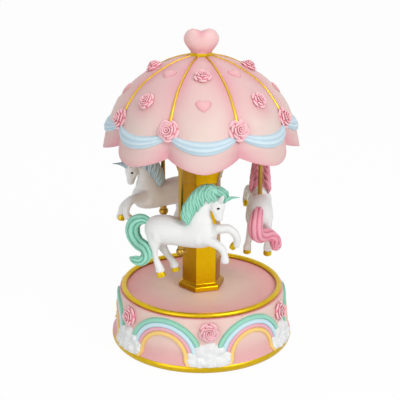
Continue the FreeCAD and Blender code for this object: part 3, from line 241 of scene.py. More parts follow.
heights = [FOOT_TOP + (DECK - FOOT_TOP) * i / 40 for i in range(41)]
wall = [(wall_radius(height), height) for height in heights]
deck = [(DECK_RADIUS - (DECK_RADIUS - SHAFT_HOLE) * i / 24, DECK) for i in range(1, 25)]
foot = [(COVER_RADIUS, 0), (FOOT_RADIUS, 0), (FOOT_RADIUS, FOOT_TOP)]
hollow = [(SHAFT_HOLE, CEILING), (43.1, CEILING), (45.7, COVER_SEAT), (COVER_RADIUS, COVER_SEAT)]
points, faces = lathed(foot + wall + deck + hollow, 240)
boss = [(1.2, 15.5), (1.2, COVER_SEAT), (3.4, COVER_SEAT), (3.4, CEILING), (1.2, CEILING)]
for heading in (115, 225, 305):
    turn = math.radians(heading)
    add_lathed(points, faces, boss, 24, BOSS_CIRCLE * math.cos(turn), BOSS_CIRCLE * math.sin(turn))
drum = piece("drum", points, faces, [drum_blush(*p) for p in points])
drum.data.set_sharp_from_angle(angle=math.radians(40))
pink_resin = painted_resin("pink_sprayed_resin", "#f0d6c9", "#e6a6a9", roughness=0.5)
deck_resin = painted_resin("peach_sprayed_deck_resin", "#fce3d3", "#f9b1b3", roughness=0.5)
drum.data.materials.append(pink_resin)
drum.data.materials.append(deck_resin)
for face in drum.data.polygons:
    face.material_index = int(on_deck(min(points[i][2] for i in face.vertices)))
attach(drum, "base")
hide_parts("base_shell")


# Gilt mouldings: the bead round the deck and the rim of the foot, cast in resin and brushed with a gold bronze
# paint. It is bright on the crown of a bead, with painted shade browner on its underside and along the bottom of the
# rim.
# Its metal flakes are drawn coarser than real ones, or they wouldn't show.
RIM_RADIUS = 50.6
RIM_TOP = 5.0
BEAD_CIRCLE = 44.7
BEAD_HEIGHT = 31.5
BEAD_ROUND = 1.55


def gilt_paint(name, bright, brown, roughness, streaks=0.5):
    material, tree = bare_material(name)
    place = add(tree, "ShaderNodeTexCoord").outputs["Object"]
    mask = add(tree, "ShaderNodeAttribute", attribute_name="blush_and_shade").outputs["Fac"]
    streak = add(tree, "ShaderNodeTexNoise", {"Vector": place, "Scale": 1 / (3.0 * MM), "Detail": 4.0})
    shift = add(tree, "ShaderNodeMath", {0: streak.outputs["Fac"], 1: streaks, 2: -0.4 * streaks},
                operation="MULTIPLY_ADD")
    amount = add(tree, "ShaderNodeMath", {0: mask, 1: shift.outputs[0]}, operation="ADD", use_clamp=True)
    colour = add(tree, "ShaderNodeMix", {"Factor": amount.outputs[0], "A": linear(bright), "B": linear(brown)},
                 data_type="RGBA")
    flake = add(tree, "ShaderNodeTexVoronoi", {"Vector": place, "Scale": 1 / (0.35 * MM)})
    rough = add(tree, "ShaderNodeMapRange", {"Value": flake.outputs["Distance"], "To Min": roughness - 0.08,
                                             "To Max": roughness + 0.1})
    skin = add(tree, "ShaderNodeBump", {"Height": streak.outputs["Fac"], "Strength": 0.3 * streaks,
                                        "Distance": 0.2 * MM})
    surface = add(tree, "ShaderNodeBsdfPrincipled", {
        "Base Color": colour.outputs["Result"], "Roughness": rough.outputs[0], "Normal": skin.outputs[0],
        "Metallic": 0.85, "Specular IOR Level": 0.25})
    add(tree, "ShaderNodeOutputMaterial", {"Surface": surface.outputs[0]})
    return material


gold = gilt_paint("gold_bronze_paint", "#d6b41e", "#8f620c", roughness=0.34)
rim_bead = [(RIM_RADIUS + 1.6 * math.sin(math.pi * i / 16) ** 0.6, RIM_TOP * i / 16) for i in range(17)]
points, faces = lathed([(FOOT_RADIUS, RIM_TOP), (FOOT_RADIUS, 0.0)] + rim_bead, 240)
# Painted shade darkens the bottom of the rim next to the floor
rim = piece("foot_moulding", points, faces, [0.5 * smooth_step(1.2, 0.0, z) + 0.1 for x, y, z in points])
rim.data.set_sharp_from_angle(angle=math.radians(50))
bead_turns = [math.radians(-40.2 + 260.4 * i / 22) for i in range(23)]
bead_section = [(BEAD_CIRCLE + BEAD_ROUND * math.cos(t), BEAD_HEIGHT + BEAD_ROUND * math.sin(t)) for t in bead_turns]
points, faces = lathed(bead_section, 240)
# Painted shade browns the underside of the bead
bead = piece("deck_bead", points, faces, [0.65 * smooth_step(32.2, 30.6, z) for x, y, z in points])
for made, node in ((rim, "foot_rim"), (bead, "deck_ring")):
    made.data.materials.append(gold)
    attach(made, "base")
    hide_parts(node)


# Rainbows: six arches of four colours, cast as rounded ribs on the drum and painted by hand in pale enamels with
# a satin gleam, with painted shade darkening the edges of each rib where it curves into the wall. The green rib
# stands proudest, and only the yellow one shows beside the clouds down to the foot.
ARCH_COUNT = 6
ARCH_SILL = 7.3
ARCH_OUTER = 22.0
LEG_SPLAY = 0.7
LEG_STOPS = (2.6, 1.3)


# Copies of a form, set evenly round the upright axis from a first angle and painted
def ring_of_copies():
    tree = bpy.data.node_groups.new("ring_of_copies", "GeometryNodeTree")
    for name, kind in (("Geometry", "NodeSocketGeometry"), ("Count", "NodeSocketInt"),
                       ("First angle", "NodeSocketFloat"), ("Paint", "NodeSocketMaterial")):
        tree.interface.new_socket(name, in_out="INPUT", socket_type=kind)
    tree.interface.new_socket("Geometry", in_out="OUTPUT", socket_type="NodeSocketGeometry")
    given = add(tree, "NodeGroupInput")
    step = add(tree, "ShaderNodeMath", {0: 2 * math.pi, 1: given.outputs["Count"]}, operation="DIVIDE")
    index = add(tree, "GeometryNodeInputIndex")
    angle = add(tree, "ShaderNodeMath", {0: index.outputs[0], 1: step.outputs[0], 2: given.outputs["First angle"]},
                operation="MULTIPLY_ADD")
    turn = add(tree, "ShaderNodeCombineXYZ", {"Z": angle.outputs[0]})
    rotation = add(tree, "FunctionNodeEulerToRotation", {"Euler": turn.outputs[0]})
    centres = add(tree, "GeometryNodePoints", {"Count": given.outputs["Count"]})
    copies = add(tree, "GeometryNodeInstanceOnPoints", {
        "Points": centres.outputs[0], "Instance": given.outputs["Geometry"], "Rotation": rotation.outputs[0]})
    real = add(tree, "GeometryNodeRealizeInstances", {"Geometry": copies.outputs[0]})
    painted = add(tree, "GeometryNodeSetMaterial", {"Geometry": real.outputs[0], "Material": given.outputs["Paint"]})
    add(tree, "NodeGroupOutput", {"Geometry": painted.outputs[0]})
    return tree


copies_tree = ring_of_copies()


# What the modifiers give becomes the plain mesh of the piece
def bake(made):
    graph = bpy.context.evaluated_depsgraph_get()
    mesh = bpy.data.meshes.new_from_object(made.evaluated_get(graph))
    made.modifiers.clear()
    made.data = mesh


def repeat(made, count, first, paint):
    made.data.materials.clear()
    ring = made.modifiers.new("ring", "NODES")
    ring.node_group = copies_tree
    for socket in copies_tree.interface.items_tree:
        value = {"Count": count, "First angle": math.radians(first), "Paint": paint}.get(socket.name)
        if value is not None:
            ring[socket.identifier] = value
    bake(made)


# From 0 to 1 a point goes over the arch. Before and after that it is on a leg, so many millimetres below the sill.
def arch_point(across, along, relief):
    if along < 0:
        x, z = across - LEG_SPLAY * along, ARCH_SILL + along
    elif along > 1:
        x, z = -across - LEG_SPLAY * (along - 1), ARCH_SILL + 1 - along
    else:
        x = across * math.cos(math.pi * along)
        z = ARCH_SILL + across * math.sin(math.pi * along)
    angle = math.asin(x / wall_radius(z))
    reach = wall_radius(z) + relief
    return reach * math.sin(angle), -reach * math.cos(angle), z


# A rib of rounded section, cut short where the clouds cover it or with legs down to the foot
def rainbow_rib(name, outer, width, relief, short, legs):
    profile = [(0.0, -0.4), (0.02, relief * 0.7), (0.12, relief * 0.88), (0.3, relief * 0.98), (0.5, relief),
               (0.7, relief * 0.98), (0.88, relief * 0.88), (0.98, relief * 0.7), (1.0, -0.4)]
    stations = [-leg for leg in legs] + [short + (1 - 2 * short) * i / 48 for i in range(49)]
    stations += [1 + leg for leg in reversed(legs)]
    points = []
    faces = []
    for along in stations:
        points += [arch_point(outer - width * share, along, lift) for share, lift in profile]
    count = len(profile)
    for i in range(len(stations) - 1):
        for j in range(count - 1):
            faces.append((i * count + j, (i + 1) * count + j, (i + 1) * count + j + 1, i * count + j + 1))
    # Painted shade: darker at the rib's edges, pale along its crown
    shade = [0.7 - 0.7 * math.sin(math.pi * share) for share, lift in profile]
    return piece(name, points, faces, shade * len(stations))


arch_outer = ARCH_OUTER
for colour, width, relief, short, pale, deep in (("green", 2.5, 1.4, 0.1, "#9fdcc4", "#78bfa5"),
                                                 ("blue", 2.6, 1.1, 0.07, "#d2ecf4", "#a9d3e2"),
                                                 ("pink", 2.2, 0.8, 0.04, "#f0b6c2", "#de98a8"),
                                                 ("yellow", 2.4, 1.1, 0.0, "#fbd684", "#eab95c")):
    rib = rainbow_rib("rainbow_rib_" + colour, arch_outer, width, relief, short, () if short else LEG_STOPS)
    enamel = painted_resin(colour + "_rainbow_enamel", pale, deep, roughness=0.45, drift_mm=5.0)
    repeat(rib, ARCH_COUNT, 180 / ARCH_COUNT + BASE_TURN, enamel)
    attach(rib, "base")
    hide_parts("rainbow_" + colour)
    arch_outer -= width


# Clouds: woolly reliefs cast on the drum where the arches meet, white with painted shade in a cool grey on the
# faces that turn downwards. One cloud is built from overlapping puffs and small lumps, fused into a single skin.
# A puff has its place along the wall, its height and its radius.
PUFFS = ((-9.0, 5.8, 3.9), (-4.4, 5.4, 4.6), (0.4, 5.2, 4.6), (5.0, 5.4, 4.6), (9.2, 5.8, 3.9), (-8.4, 8.8, 4.0),
         (8.6, 9.2, 4.0), (-4.6, 12.0, 5.0), (0.6, 12.8, 5.4), (5.4, 12.0, 4.8), (0.2, 8.6, 6.0))
LUMPS = 6


# Forms that overlap become a single skin, eased where they meet
def fuse(made, voxel_mm):
    skin = made.modifiers.new("fuse", "REMESH")
    skin.mode = "VOXEL"
    skin.voxel_size = voxel_mm * MM
    ease = made.modifiers.new("ease", "SMOOTH")
    ease.factor = 0.5
    ease.iterations = 6
    bake(made)
    made.data.shade_smooth()


lots = random.Random(7)
spheres = []
for along, height, radius in PUFFS:
    reach = wall_radius(height) - radius * 0.6
    angle = along / reach
    centre = Vector((reach * math.sin(angle), -reach * math.cos(angle), height))
    spheres.append((centre, radius))
    for _ in range(LUMPS):
        way = Vector((math.sin(angle), -math.cos(angle), 0)) * lots.uniform(0.45, 0.9)
        way += Vector((math.cos(angle), math.sin(angle), 0)) * lots.uniform(-0.8, 0.8)
        way += Vector((0, 0, lots.uniform(-0.6, 0.8)))
        spheres.append((centre + way.normalized() * radius * 0.8, lots.uniform(1.1, 1.6)))
mesh = bmesh.new()
for centre, radius in spheres:
    bmesh.ops.create_icosphere(mesh, subdivisions=3, radius=radius * MM, matrix=Matrix.Translation(centre * MM))
cloud = piece("cloud_reliefs_wool", [], [])
mesh.to_mesh(cloud.data)
mesh.free()
fuse(cloud, 0.4)

# The cloud is cut level with the foot, and what lies inside the wall is taken off
mesh = bmesh.new()
mesh.from_mesh(cloud.data)
bmesh.ops.bisect_plane(mesh, geom=mesh.verts[:] + mesh.edges[:] + mesh.faces[:], plane_co=(0, 0, FOOT_TOP * MM),
                       plane_no=(0, 0, -1), clear_outer=True)
hidden = [v for v in mesh.verts if math.hypot(v.co.x, v.co.y) < (wall_radius(v.co.z / MM) - 0.9) * MM]
bmesh.ops.delete(mesh, geom=hidden, context="VERTS")
mesh.to_mesh(cloud.data)
mesh.free()
# Painted shade: grey on faces that turn down, white on those that turn up
tint(cloud.data, [0.45 - 0.5 * v.normal.z for v in cloud.data.vertices])
cloud_white = painted_resin("cloud_white_painted_shade", "#f3f4f2", "#dcdfe2", roughness=0.55, drift_mm=4.0, grain_mm=0.7,
                            bump=0.3)
repeat(cloud, ARCH_COUNT, BASE_TURN, cloud_white)
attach(cloud, "base")
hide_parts("cloud_reliefs")


# Roses on the drum: open roses cast in resin and glued on above the clouds, sprayed pink, with painted shade deeper
# between the petals. Five rings of rolled petals, the innermost a tight bud, stand on a domed core.
ROSE_HEIGHT = 23.3
WALL_LEAN = 7.8


# Faces of a sleeve: closed rings of so many points, each joined to the next
def sleeve(rings, count):
    faces = []
    for ring in range(rings - 1):
        low = ring * count
        for i in range(count):
            k = (i + 1) % count
            faces.append((low + i, low + k, low + count + k, low + count + i))
    return faces


# A layer has the number of its petals and its turn, the reach of root and lip, the height of root and lip, how
# wide a petal spreads, and how far its lip rolls over, with lengths as shares of the radius
def rose(name, radius):
    points = []
    faces = []
    shade = []
    layers = ((5, 0.0, 0.46, 1.0, -0.18, 0.2, 0.80, 0.24), (5, 0.6, 0.4, 0.8, -0.05, 0.42, 0.80, 0.16),
              (4, 0.2, 0.3, 0.6, 0.05, 0.6, 0.95, 0.1), (3, 0.9, 0.2, 0.4, 0.1, 0.7, 1.2, 0.02),
              (2, 0.3, 0.08, 0.2, 0.1, 0.74, 1.7, -0.02))
    across, along = 8, 7
    for petals, turn, root, reach, low, high, spread, roll in layers:
        for petal in range(petals):
            middle = turn + 2 * math.pi * petal / petals
            first = len(points)
            for i in range(across + 1):
                p = 2 * i / across - 1
                length = 1 - 0.16 * p * p
                for j in range(along + 1):
                    q = j / along
                    out = root + (reach - root) * (q ** 0.75) * length + 0.05 * p * (1 - q * 0.4)
                    up = low + (high - low) * math.sin(q * 1.75) / math.sin(1.75) * length
                    lip = smooth_step(0.72, 1.0, q)
                    out += roll * lip * 0.25
                    up -= roll * lip * 0.5
                    angle = middle + p * spread * math.pi / petals
                    points.append((radius * out * math.sin(angle), -radius * out * math.cos(angle), radius * up))
                    # Painted shade: deep at each petal's root, pale at its lip
                    shade.append(0.95 - 0.95 * q)
            for i in range(across):
                for j in range(along):
                    a = first + i * (along + 1) + j
                    faces.append((a, a + along + 1, a + along + 2, a + 1))
    # The domed core between the petals is painted in full shade
    sides, rings, core = 20, 5, 0.92 * radius
    first = len(points)
    for ring in range(rings):
        lean = math.pi / 2 * (1 - ring / rings)
        for side in range(sides):
            angle = 2 * math.pi * side / sides
            points.append((core * math.sin(lean) * math.sin(angle), -core * math.sin(lean) * math.cos(angle),
                           radius * (0.58 * math.cos(lean) - 0.1)))
            shade.append(1.0)
    points.append((0, 0, 0.48 * radius))
    shade.append(1.0)
    faces += [tuple(first + i for i in face) for face in sleeve(rings, sides)]
    top = first + (rings - 1) * sides
    faces += [(top + side, top + (side + 1) % sides, top + sides) for side in range(sides)]
    made = piece(name, points, faces, shade)
    thick = made.modifiers.new("thick", "SOLIDIFY")
    thick.thickness = 0.085 * radius * MM
    thick.offset = -1
    round_off = made.modifiers.new("round", "SUBSURF")
    round_off.levels = 1
    round_off.render_levels = 1
    bake(made)
    made.data.shade_smooth()
    return made


# Stands a form that was drawn facing up on the front of a surface, tilted back by the surface's slope
def seat(made, radius, height, tilt):
    made.data.transform(Matrix.Translation((0, -radius * MM, height * MM))
                        @ Matrix.Rotation(math.radians(90 - tilt), 4, "X"))


rose_pink = painted_resin("rose_pink_resin", "#fbced3", "#ea93a2", roughness=0.42, drift_mm=3.0)
drum_roses = rose("drum_roses", 5.2)
seat(drum_roses, wall_radius(ROSE_HEIGHT) + 0.3, ROSE_HEIGHT, WALL_LEAN)
repeat(drum_roses, ARCH_COUNT, BASE_TURN, rose_pink)
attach(drum_roses, "base")
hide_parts("base_roses")


# Underside: a black polystyrene plate closes the drum, held by steel screws, with the plated key in a recess.
# Moulded grain on the plate, bright turned heads on the screws, and a worn nickel skin on the key. The marks of
# tool and mould are drawn coarser than real ones, or they wouldn't show.
def machined(name, colour, roughness, metallic, grain_mm, stretch=(1, 1, 1)):
    material, tree = bare_material(name)
    place = add(tree, "ShaderNodeTexCoord").outputs["Object"]
    lay = add(tree, "ShaderNodeMapping", {"Vector": place, "Scale": stretch})
    grain = add(tree, "ShaderNodeTexNoise", {"Vector": lay.outputs[0], "Scale": 1 / (grain_mm * MM), "Detail": 3.0})
    tone = add(tree, "ShaderNodeHueSaturation", {
        "Color": linear(colour), "Value": add(tree, "ShaderNodeMapRange", {
            "Value": grain.outputs["Fac"], "To Min": 0.8, "To Max": 1.15}).outputs[0]})
    rough = add(tree, "ShaderNodeMapRange", {"Value": grain.outputs["Fac"], "To Min": roughness - 0.08,
                                             "To Max": roughness + 0.1})
    skin = add(tree, "ShaderNodeBump", {"Height": grain.outputs["Fac"], "Strength": 0.2, "Distance": 0.05 * MM})
    surface = add(tree, "ShaderNodeBsdfPrincipled", {
        "Base Color": tone.outputs[0], "Roughness": rough.outputs[0], "Normal": skin.outputs[0],
        "Metallic": metallic})
    add(tree, "ShaderNodeOutputMaterial", {"Surface": surface.outputs[0]})
    return material


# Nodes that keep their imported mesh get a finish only
def finish_nodes(material, *names):
    for name in names:
        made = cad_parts[name]
        made.data.materials.clear()
        made.data.materials.append(material)


black_plastic = machined("black_moulded_polystyrene", "#26262a", roughness=0.5, metallic=0.0, grain_mm=0.6)
bright_steel = machined("bright_turned_steel", "#b9babd", roughness=0.28, metallic=1.0, grain_mm=0.4,
                        stretch=(1, 1, 0.2))
worn_nickel = machined("worn_nickel_plate", "#c9c2b0", roughness=0.3, metallic=1.0, grain_mm=0.8)
finish_nodes(black_plastic, "bottom_cover")
finish_nodes(bright_steel, "cover_screws", "movement_screws")
finish_nodes(worn_nickel, "winding_key")


# Movement: a standard small wind-up movement, with a drawn steel bedplate and comb, and brass turned on a lathe.
# The fly of the governor is a sliver of pale nylon.
drawn_steel = machined("drawn_steel_plate", "#9fa1a6", roughness=0.36, metallic=1.0, grain_mm=0.5,
                       stretch=(0.1, 1, 1))
turned_brass = machined("turned_brass", "#c9a24e", roughness=0.3, metallic=1.0, grain_mm=0.4, stretch=(0.2, 1, 1))
pale_nylon = machined("pale_nylon", "#dcdad2", roughness=0.5, metallic=0.0, grain_mm=0.6)
finish_nodes(drawn_steel, "movement_bedplate", "comb", "comb_screws", "ratchet_spring", "mainspring")
finish_nodes(bright_steel, "output_shaft", "winding_arbor", "cylinder_arbor", "governor_arbor", "finial_pin")
finish_nodes(turned_brass, "deck_bush", "governor_bracket", "spring_barrel", "barrel_cap", "music_cylinder",
             "cylinder_pinion", "cylinder_wheel")
finish_nodes(pale_nylon, "governor_fly")


# Column: a six-sided casting with a stepped plinth and a flared capital, glued to the turning shaft. It is brushed
# in a smooth coat of gold bronze paint, with painted shade browning every second face, and mould and paint soften
# its edges.
# A level has its height and the radius at the corners.
COLUMN_TURN = 15.5
COLUMN_SIDES = 6
COLUMN_LEVELS = ((30.9, 13.6), (33.5, 13.6), (34.5, 12.23), (34.9, 11.33), (94.6, 11.33), (95.0, 12.2), (96.2, 12.2),
                 (103.8, 14.73), (112.5, 17.5), (118.0, 17.5))


def capped_sleeve(rings, count):
    last = (rings - 1) * count
    return sleeve(rings, count) + [tuple(range(count - 1, -1, -1)), tuple(range(last, last + count))]


points = []
for height, radius in COLUMN_LEVELS:
    for side in range(COLUMN_SIDES):
        angle = math.radians(COLUMN_TURN) + 2 * math.pi * (side + 0.5) / COLUMN_SIDES
        points.append((radius * math.sin(angle), -radius * math.cos(angle), height))
column = piece("column_casting", points, capped_sleeve(len(COLUMN_LEVELS), COLUMN_SIDES))
soften = column.modifiers.new("soften", "BEVEL")
soften.width = 0.35 * MM
soften.segments = 3
soften.limit_method = "ANGLE"
soften.angle_limit = math.radians(12)
bake(column)
column.data.shade_smooth()
column.data.set_sharp_from_angle(angle=math.radians(60))
# Painted shade makes every second face browner
headings = [math.atan2(v.normal.x, -v.normal.y) - math.radians(COLUMN_TURN) for v in column.data.vertices]
tint(column.data, [0.02 + 0.7 * smooth_step(0.2, -0.8, math.cos(3 * heading)) for heading in headings])
column_gold = gilt_paint("column_gold_paint", "#e3b306", "#8c5505", roughness=0.3, streaks=0.15)
column.data.materials.append(column_gold)
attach(column, "carousel")
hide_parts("column")


# Canopy: a thin resin shell of eight puffed panels with a scalloped skirt, sprayed cream and shaded pink by airbrush
# along the valleys, the scalloped edge and the crown. Sockets inside take the column's tenon and the poles.
# A section has its rise over the skirt, the radius at a panel's middle, and how deep the valley lies under that.
SKIRT = 115.0
CROWN_RISE = 50.2
SECTIONS = ((0.0, 54.4, 6.2), (4.0, 53.6, 5.5), (9.5, 52.3, 4.8), (16.5, 50.0, 3.9), (23.5, 47.0, 3.0),
            (30.0, 42.2, 2.2), (36.0, 36.5, 1.6), (41.0, 29.5, 1.2), (45.0, 21.8, 0.8), (48.0, 14.3, 0.4),
            (CROWN_RISE, 5.6, 0.1))
SHELL_WALL = 2.4
CANOPY_TURN = 1.5
PANELS = 8
HALF_PANEL = math.pi / PANELS
POLE_CIRCLE = 34.0
POLE_TURNS = {"front": -18.8, "right": 101.2, "left": 221.2}


# A smooth value between listed stations: each has its place first, and the values that belong to it after
def between(stations, place):
    last = len(stations) - 1
    spot = 0
    while spot < last - 1 and stations[spot + 1][0] < place:
        spot += 1
    a, b = stations[spot], stations[spot + 1]
    before = stations[max(spot - 1, 0)]
    after = stations[min(spot + 2, last)]
    span = b[0] - a[0]
    t = (place - a[0]) / span
    values = []
    for k in range(1, len(a)):
        slope_a = (b[k] - before[k]) / (b[0] - before[0]) * span
        slope_b = (after[k] - a[k]) / (after[0] - a[0]) * span
        values.append(a[k] * (2 * t ** 3 - 3 * t * t + 1) + slope_a * (t ** 3 - 2 * t * t + t)
                      + b[k] * (3 * t * t - 2 * t ** 3) + slope_b * (t ** 3 - t * t))
    return values


# Each panel is an arc from valley to valley. The angle is measured from the panel's middle.
def canopy_radius(rise, angle):
    crest, depth = between(SECTIONS, rise)
    valley = crest - depth
    centre = (crest ** 2 - valley ** 2) / (2 * (crest - valley * math.cos(HALF_PANEL)))
    return centre * math.cos(angle) + math.sqrt((crest - centre) ** 2 - (centre * math.sin(angle)) ** 2)


def panel_angle(turn):
    return (turn + HALF_PANEL) % (2 * HALF_PANEL) - HALF_PANEL


# The scalloped edge rises along an arc from each panel's middle to the cusp in the valley
def skirt_edge(angle):
    share = abs(angle) / HALF_PANEL
    return -0.6 + 5.8 * share ** 1.5


# Pink gathers in the valleys, over the crown, along the edge, under the swags and round the roses, and a painted
# shadow, partly pink blush, lies under the lower ornament of a panel, deeper under a rose than under a heart
def canopy_blush_and_shadow(rise, angle, shadow_strength):
    share = abs(angle) / HALF_PANEL
    valley = 0.62 * share ** 2
    crown = 0.55 * smooth_step(24, 47, rise)
    edge = 0.5 * math.exp(-(rise - skirt_edge(angle)) / 1.8)
    hem = 0.22 * smooth_step(11, 8, rise)
    by_rose = 0.3 * math.exp(-((rise - 19) / 7) ** 2) * share ** 4
    # Painted shadow under the panel's lower rose or heart
    painted_shadow = shadow_strength * math.exp(-((rise - 28.5) / 6) ** 2 - (angle / 0.18) ** 2)
    return 0.08 + valley + crown + edge + hem + by_rose + painted_shadow


steps = 256
levels = 56
points = []
shade = []
for step in range(steps):
    turn = 2 * math.pi * step / steps
    angle = panel_angle(turn)
    low = skirt_edge(angle)
    outside = []
    for level in range(levels + 1):
        rise = low + (CROWN_RISE - low) * (level / levels) ** 1.1
        outside.append((canopy_radius(rise, angle), rise))
    inside = []
    for level in range(levels // 2 + 1):
        rise = low + (CROWN_RISE - 3 - low) * (1 - level / (levels // 2))
        inside.append((max(canopy_radius(rise, angle) - SHELL_WALL - 0.6 * smooth_step(20, 47, rise), 1.0), rise))
    for radius, rise in outside + [(0.4, CROWN_RISE), (0.4, CROWN_RISE - 2.9)] + inside:
        heading = turn + math.radians(CANOPY_TURN)
        points.append((radius * math.sin(heading), -radius * math.cos(heading), SKIRT + rise))
    # The painted shadow is deeper under a low rose than under a low heart
    shadow_strength = (0.2, 0.6)[round(turn / (2 * HALF_PANEL)) % 2]
    shade += [canopy_blush_and_shadow(rise, angle, shadow_strength) for radius, rise in outside] + [1, 1] + [0.7] * len(inside)
faces = turned_faces(steps, len(points) // steps)
sockets = [(0.0, 0.0, 12.0, 118.0, 160.0)]
for heading in POLE_TURNS.values():
    turn = math.radians(heading)
    sockets.append((POLE_CIRCLE * math.sin(turn), -POLE_CIRCLE * math.cos(turn), 3.4, 135.0, 148.0))
for x, y, radius, low, high in sockets:
    post = [(0.3, low), (radius - 0.3, low), (radius, low + 0.3), (radius, high), (0.3, high)]
    add_lathed(points, faces, post, 32, x, y)
shade += [0.7] * (len(points) - len(shade))
canopy = piece("canopy_casting", points, faces, shade)
canopy.data.set_sharp_from_angle(angle=math.radians(55))
canopy_resin = painted_resin("canopy_airbrushed_resin", "#e6d3c8", "#e0a2a9", roughness=0.48, drift_mm=12.0)
canopy.data.materials.append(canopy_resin)
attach(canopy, "carousel")
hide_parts("canopy_shell")


# Ribs and crown ring: round gilt cords of resin along the eight valleys, from the roses up to a flat ring that
# they meet under the finial. A thin coat of the gold paint lets the pink below warm it.
RIB_FOOT = 19.0
RIB_TURN = 180 / PANELS + CANOPY_TURN
spine = bpy.data.curves.new("rib_line", "CURVE")
spine.dimensions = "3D"
spine.bevel_depth = 0.78 * MM
spine.bevel_resolution = 5
spine.use_fill_caps = True
line = spine.splines.new("POLY")
stops = [RIB_FOOT + (CROWN_RISE - RIB_FOOT) * i / 40 for i in range(41)]
line.points.add(len(stops) - 1)
for point, rise in zip(line.points, stops):
    reach = canopy_radius(rise, HALF_PANEL) + 0.15
    point.co = (0, -reach * MM, (SKIRT + rise) * MM, 1)
    point.radius = 1.2 - 0.4 * smooth_step(RIB_FOOT, 46, rise)
holder = bpy.data.objects.new("rib_line", spine)
scene.collection.objects.link(holder)
rib_mesh = bpy.data.meshes.new_from_object(holder.evaluated_get(bpy.context.evaluated_depsgraph_get()))
bpy.data.objects.remove(holder)
ribs = bpy.data.objects.new("gilt_ribs", rib_mesh)
scene.collection.objects.link(ribs)
ribs.data.shade_smooth()
tint(ribs.data, [0.15 + 0.4 * smooth_step(140, 164, v.co.z / MM) for v in ribs.data.vertices])
rib_gold = gilt_paint("thin_gold_paint", "#e4c045", "#a87a2c", roughness=0.38)
repeat(ribs, PANELS, RIB_TURN, rib_gold)
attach(ribs, "carousel")
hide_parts("canopy_ribs")
finish_nodes(gold, "crown_ring")


# Swags: a festoon of pale blue drapery modelled in relief on each panel, its ends tucked behind the roses.
# Three soft folds run from end to end and gather towards the roses, with painted shade in blue-grey in the creases
# and on the sides that face the panel.
SWAG_ENDS = 17.0
SWAG_DIP = 4.8
SWAG_TALL = 3.4
points = []
shade = []
along_count, round_count = 48, 28
for i in range(along_count + 1):
    s = 2 * i / along_count - 1
    share = 0.9 * s
    rise = SWAG_ENDS - SWAG_DIP * (1 - share * share)
    tall = SWAG_TALL * (1 - 0.6 * share * share)
    for j in range(round_count):
        turn = 2 * math.pi * j / round_count
        v = math.sin(turn)
        level = rise + tall * v
        fold = math.cos(math.pi * (2.6 * v + 0.45 * s * v + 0.35))
        front = max(math.cos(turn), 0.0)
        lift = 1.7 * front ** 0.7 * (1 - 0.3 * share * share) + 0.3 * fold * front * (1 - 0.35 * abs(s))
        angle = share * HALF_PANEL * 1.02
        radius = canopy_radius(level, max(min(angle, HALF_PANEL), -HALF_PANEL)) + lift - 0.5 * (1 - front)
        points.append((radius * math.sin(angle), -radius * math.cos(angle), SKIRT + level))
        # Painted shade in the fold troughs and on the sides that face the panel
        shade.append(0.4 - 0.4 * fold * front + 0.3 * (1 - front))
festoons = piece("swag_folds", points, capped_sleeve(along_count + 1, round_count), shade)
swag_blue = painted_resin("pale_blue_resin", "#d8e8ee", "#a8c6d6", roughness=0.48, drift_mm=5.0)
repeat(festoons, PANELS, CANOPY_TURN, swag_blue)
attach(festoons, "carousel")
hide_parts("swags")


# Roses on the canopy: the same cast roses, larger where each rib ends on the skirt and smaller on the panels.
# They are glued to the shell, every second panel with its rose high and its heart low, the others turned about.
RIB_ROSE_RISE = 19.4
HIGH_RISE = 43.4
LOW_RISE = 31.6
ODD_PANELS = 45 + CANOPY_TURN


# How far a panel leans back, in degrees
def slope(rise):
    low = between(SECTIONS, rise - 1)[0]
    high = between(SECTIONS, rise + 1)[0]
    return math.degrees(math.atan2(low - high, 2.0))


# Several forms become one piece
def join(name, *parts):
    whole = bmesh.new()
    for part in parts:
        whole.from_mesh(part.data)
    made = parts[0]
    whole.to_mesh(made.data)
    whole.free()
    for part in parts[1:]:
        bpy.data.objects.remove(part)
    made.name = name
    return made


rib_roses = rose("rib_rose_castings", 5.5)
seat(rib_roses, canopy_radius(RIB_ROSE_RISE, HALF_PANEL) + 1.0, SKIRT + RIB_ROSE_RISE, slope(RIB_ROSE_RISE))
repeat(rib_roses, PANELS, RIB_TURN, rose_pink)
high_rose = rose("high_rose", 4.4)
seat(high_rose, canopy_radius(HIGH_RISE, 0) + 0.2, SKIRT + HIGH_RISE + 0.2, slope(HIGH_RISE))
repeat(high_rose, PANELS // 2, CANOPY_TURN, rose_pink)
low_rose = rose("low_rose", 4.4)
seat(low_rose, canopy_radius(LOW_RISE, 0) + 0.2, SKIRT + LOW_RISE + 0.1, slope(LOW_RISE))
repeat(low_rose, PANELS // 2, ODD_PANELS, rose_pink)
panel_roses = join("panel_rose_castings", high_rose, low_rose)
for made, node in ((rib_roses, "rib_roses"), (panel_roses, "panel_roses")):
    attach(made, "carousel")
    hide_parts(node)


# Hearts on the panels: shallow pillow hearts of sprayed resin cast with the shell, a touch deeper in pink than the
# panel, with painted shade deepest round their edge.
def heart_outline(half, count):
    line = [(place, x, y) for place, (x, y) in enumerate(half)]
    right = [between(line, (len(half) - 1) * i / count) for i in range(count + 1)]
    left = [(-x, y) for x, y in reversed(right[1:])]
    ends_in_point = half[-1][0] == 0
    return (right + left[1:] if ends_in_point else right + left)[::-1]


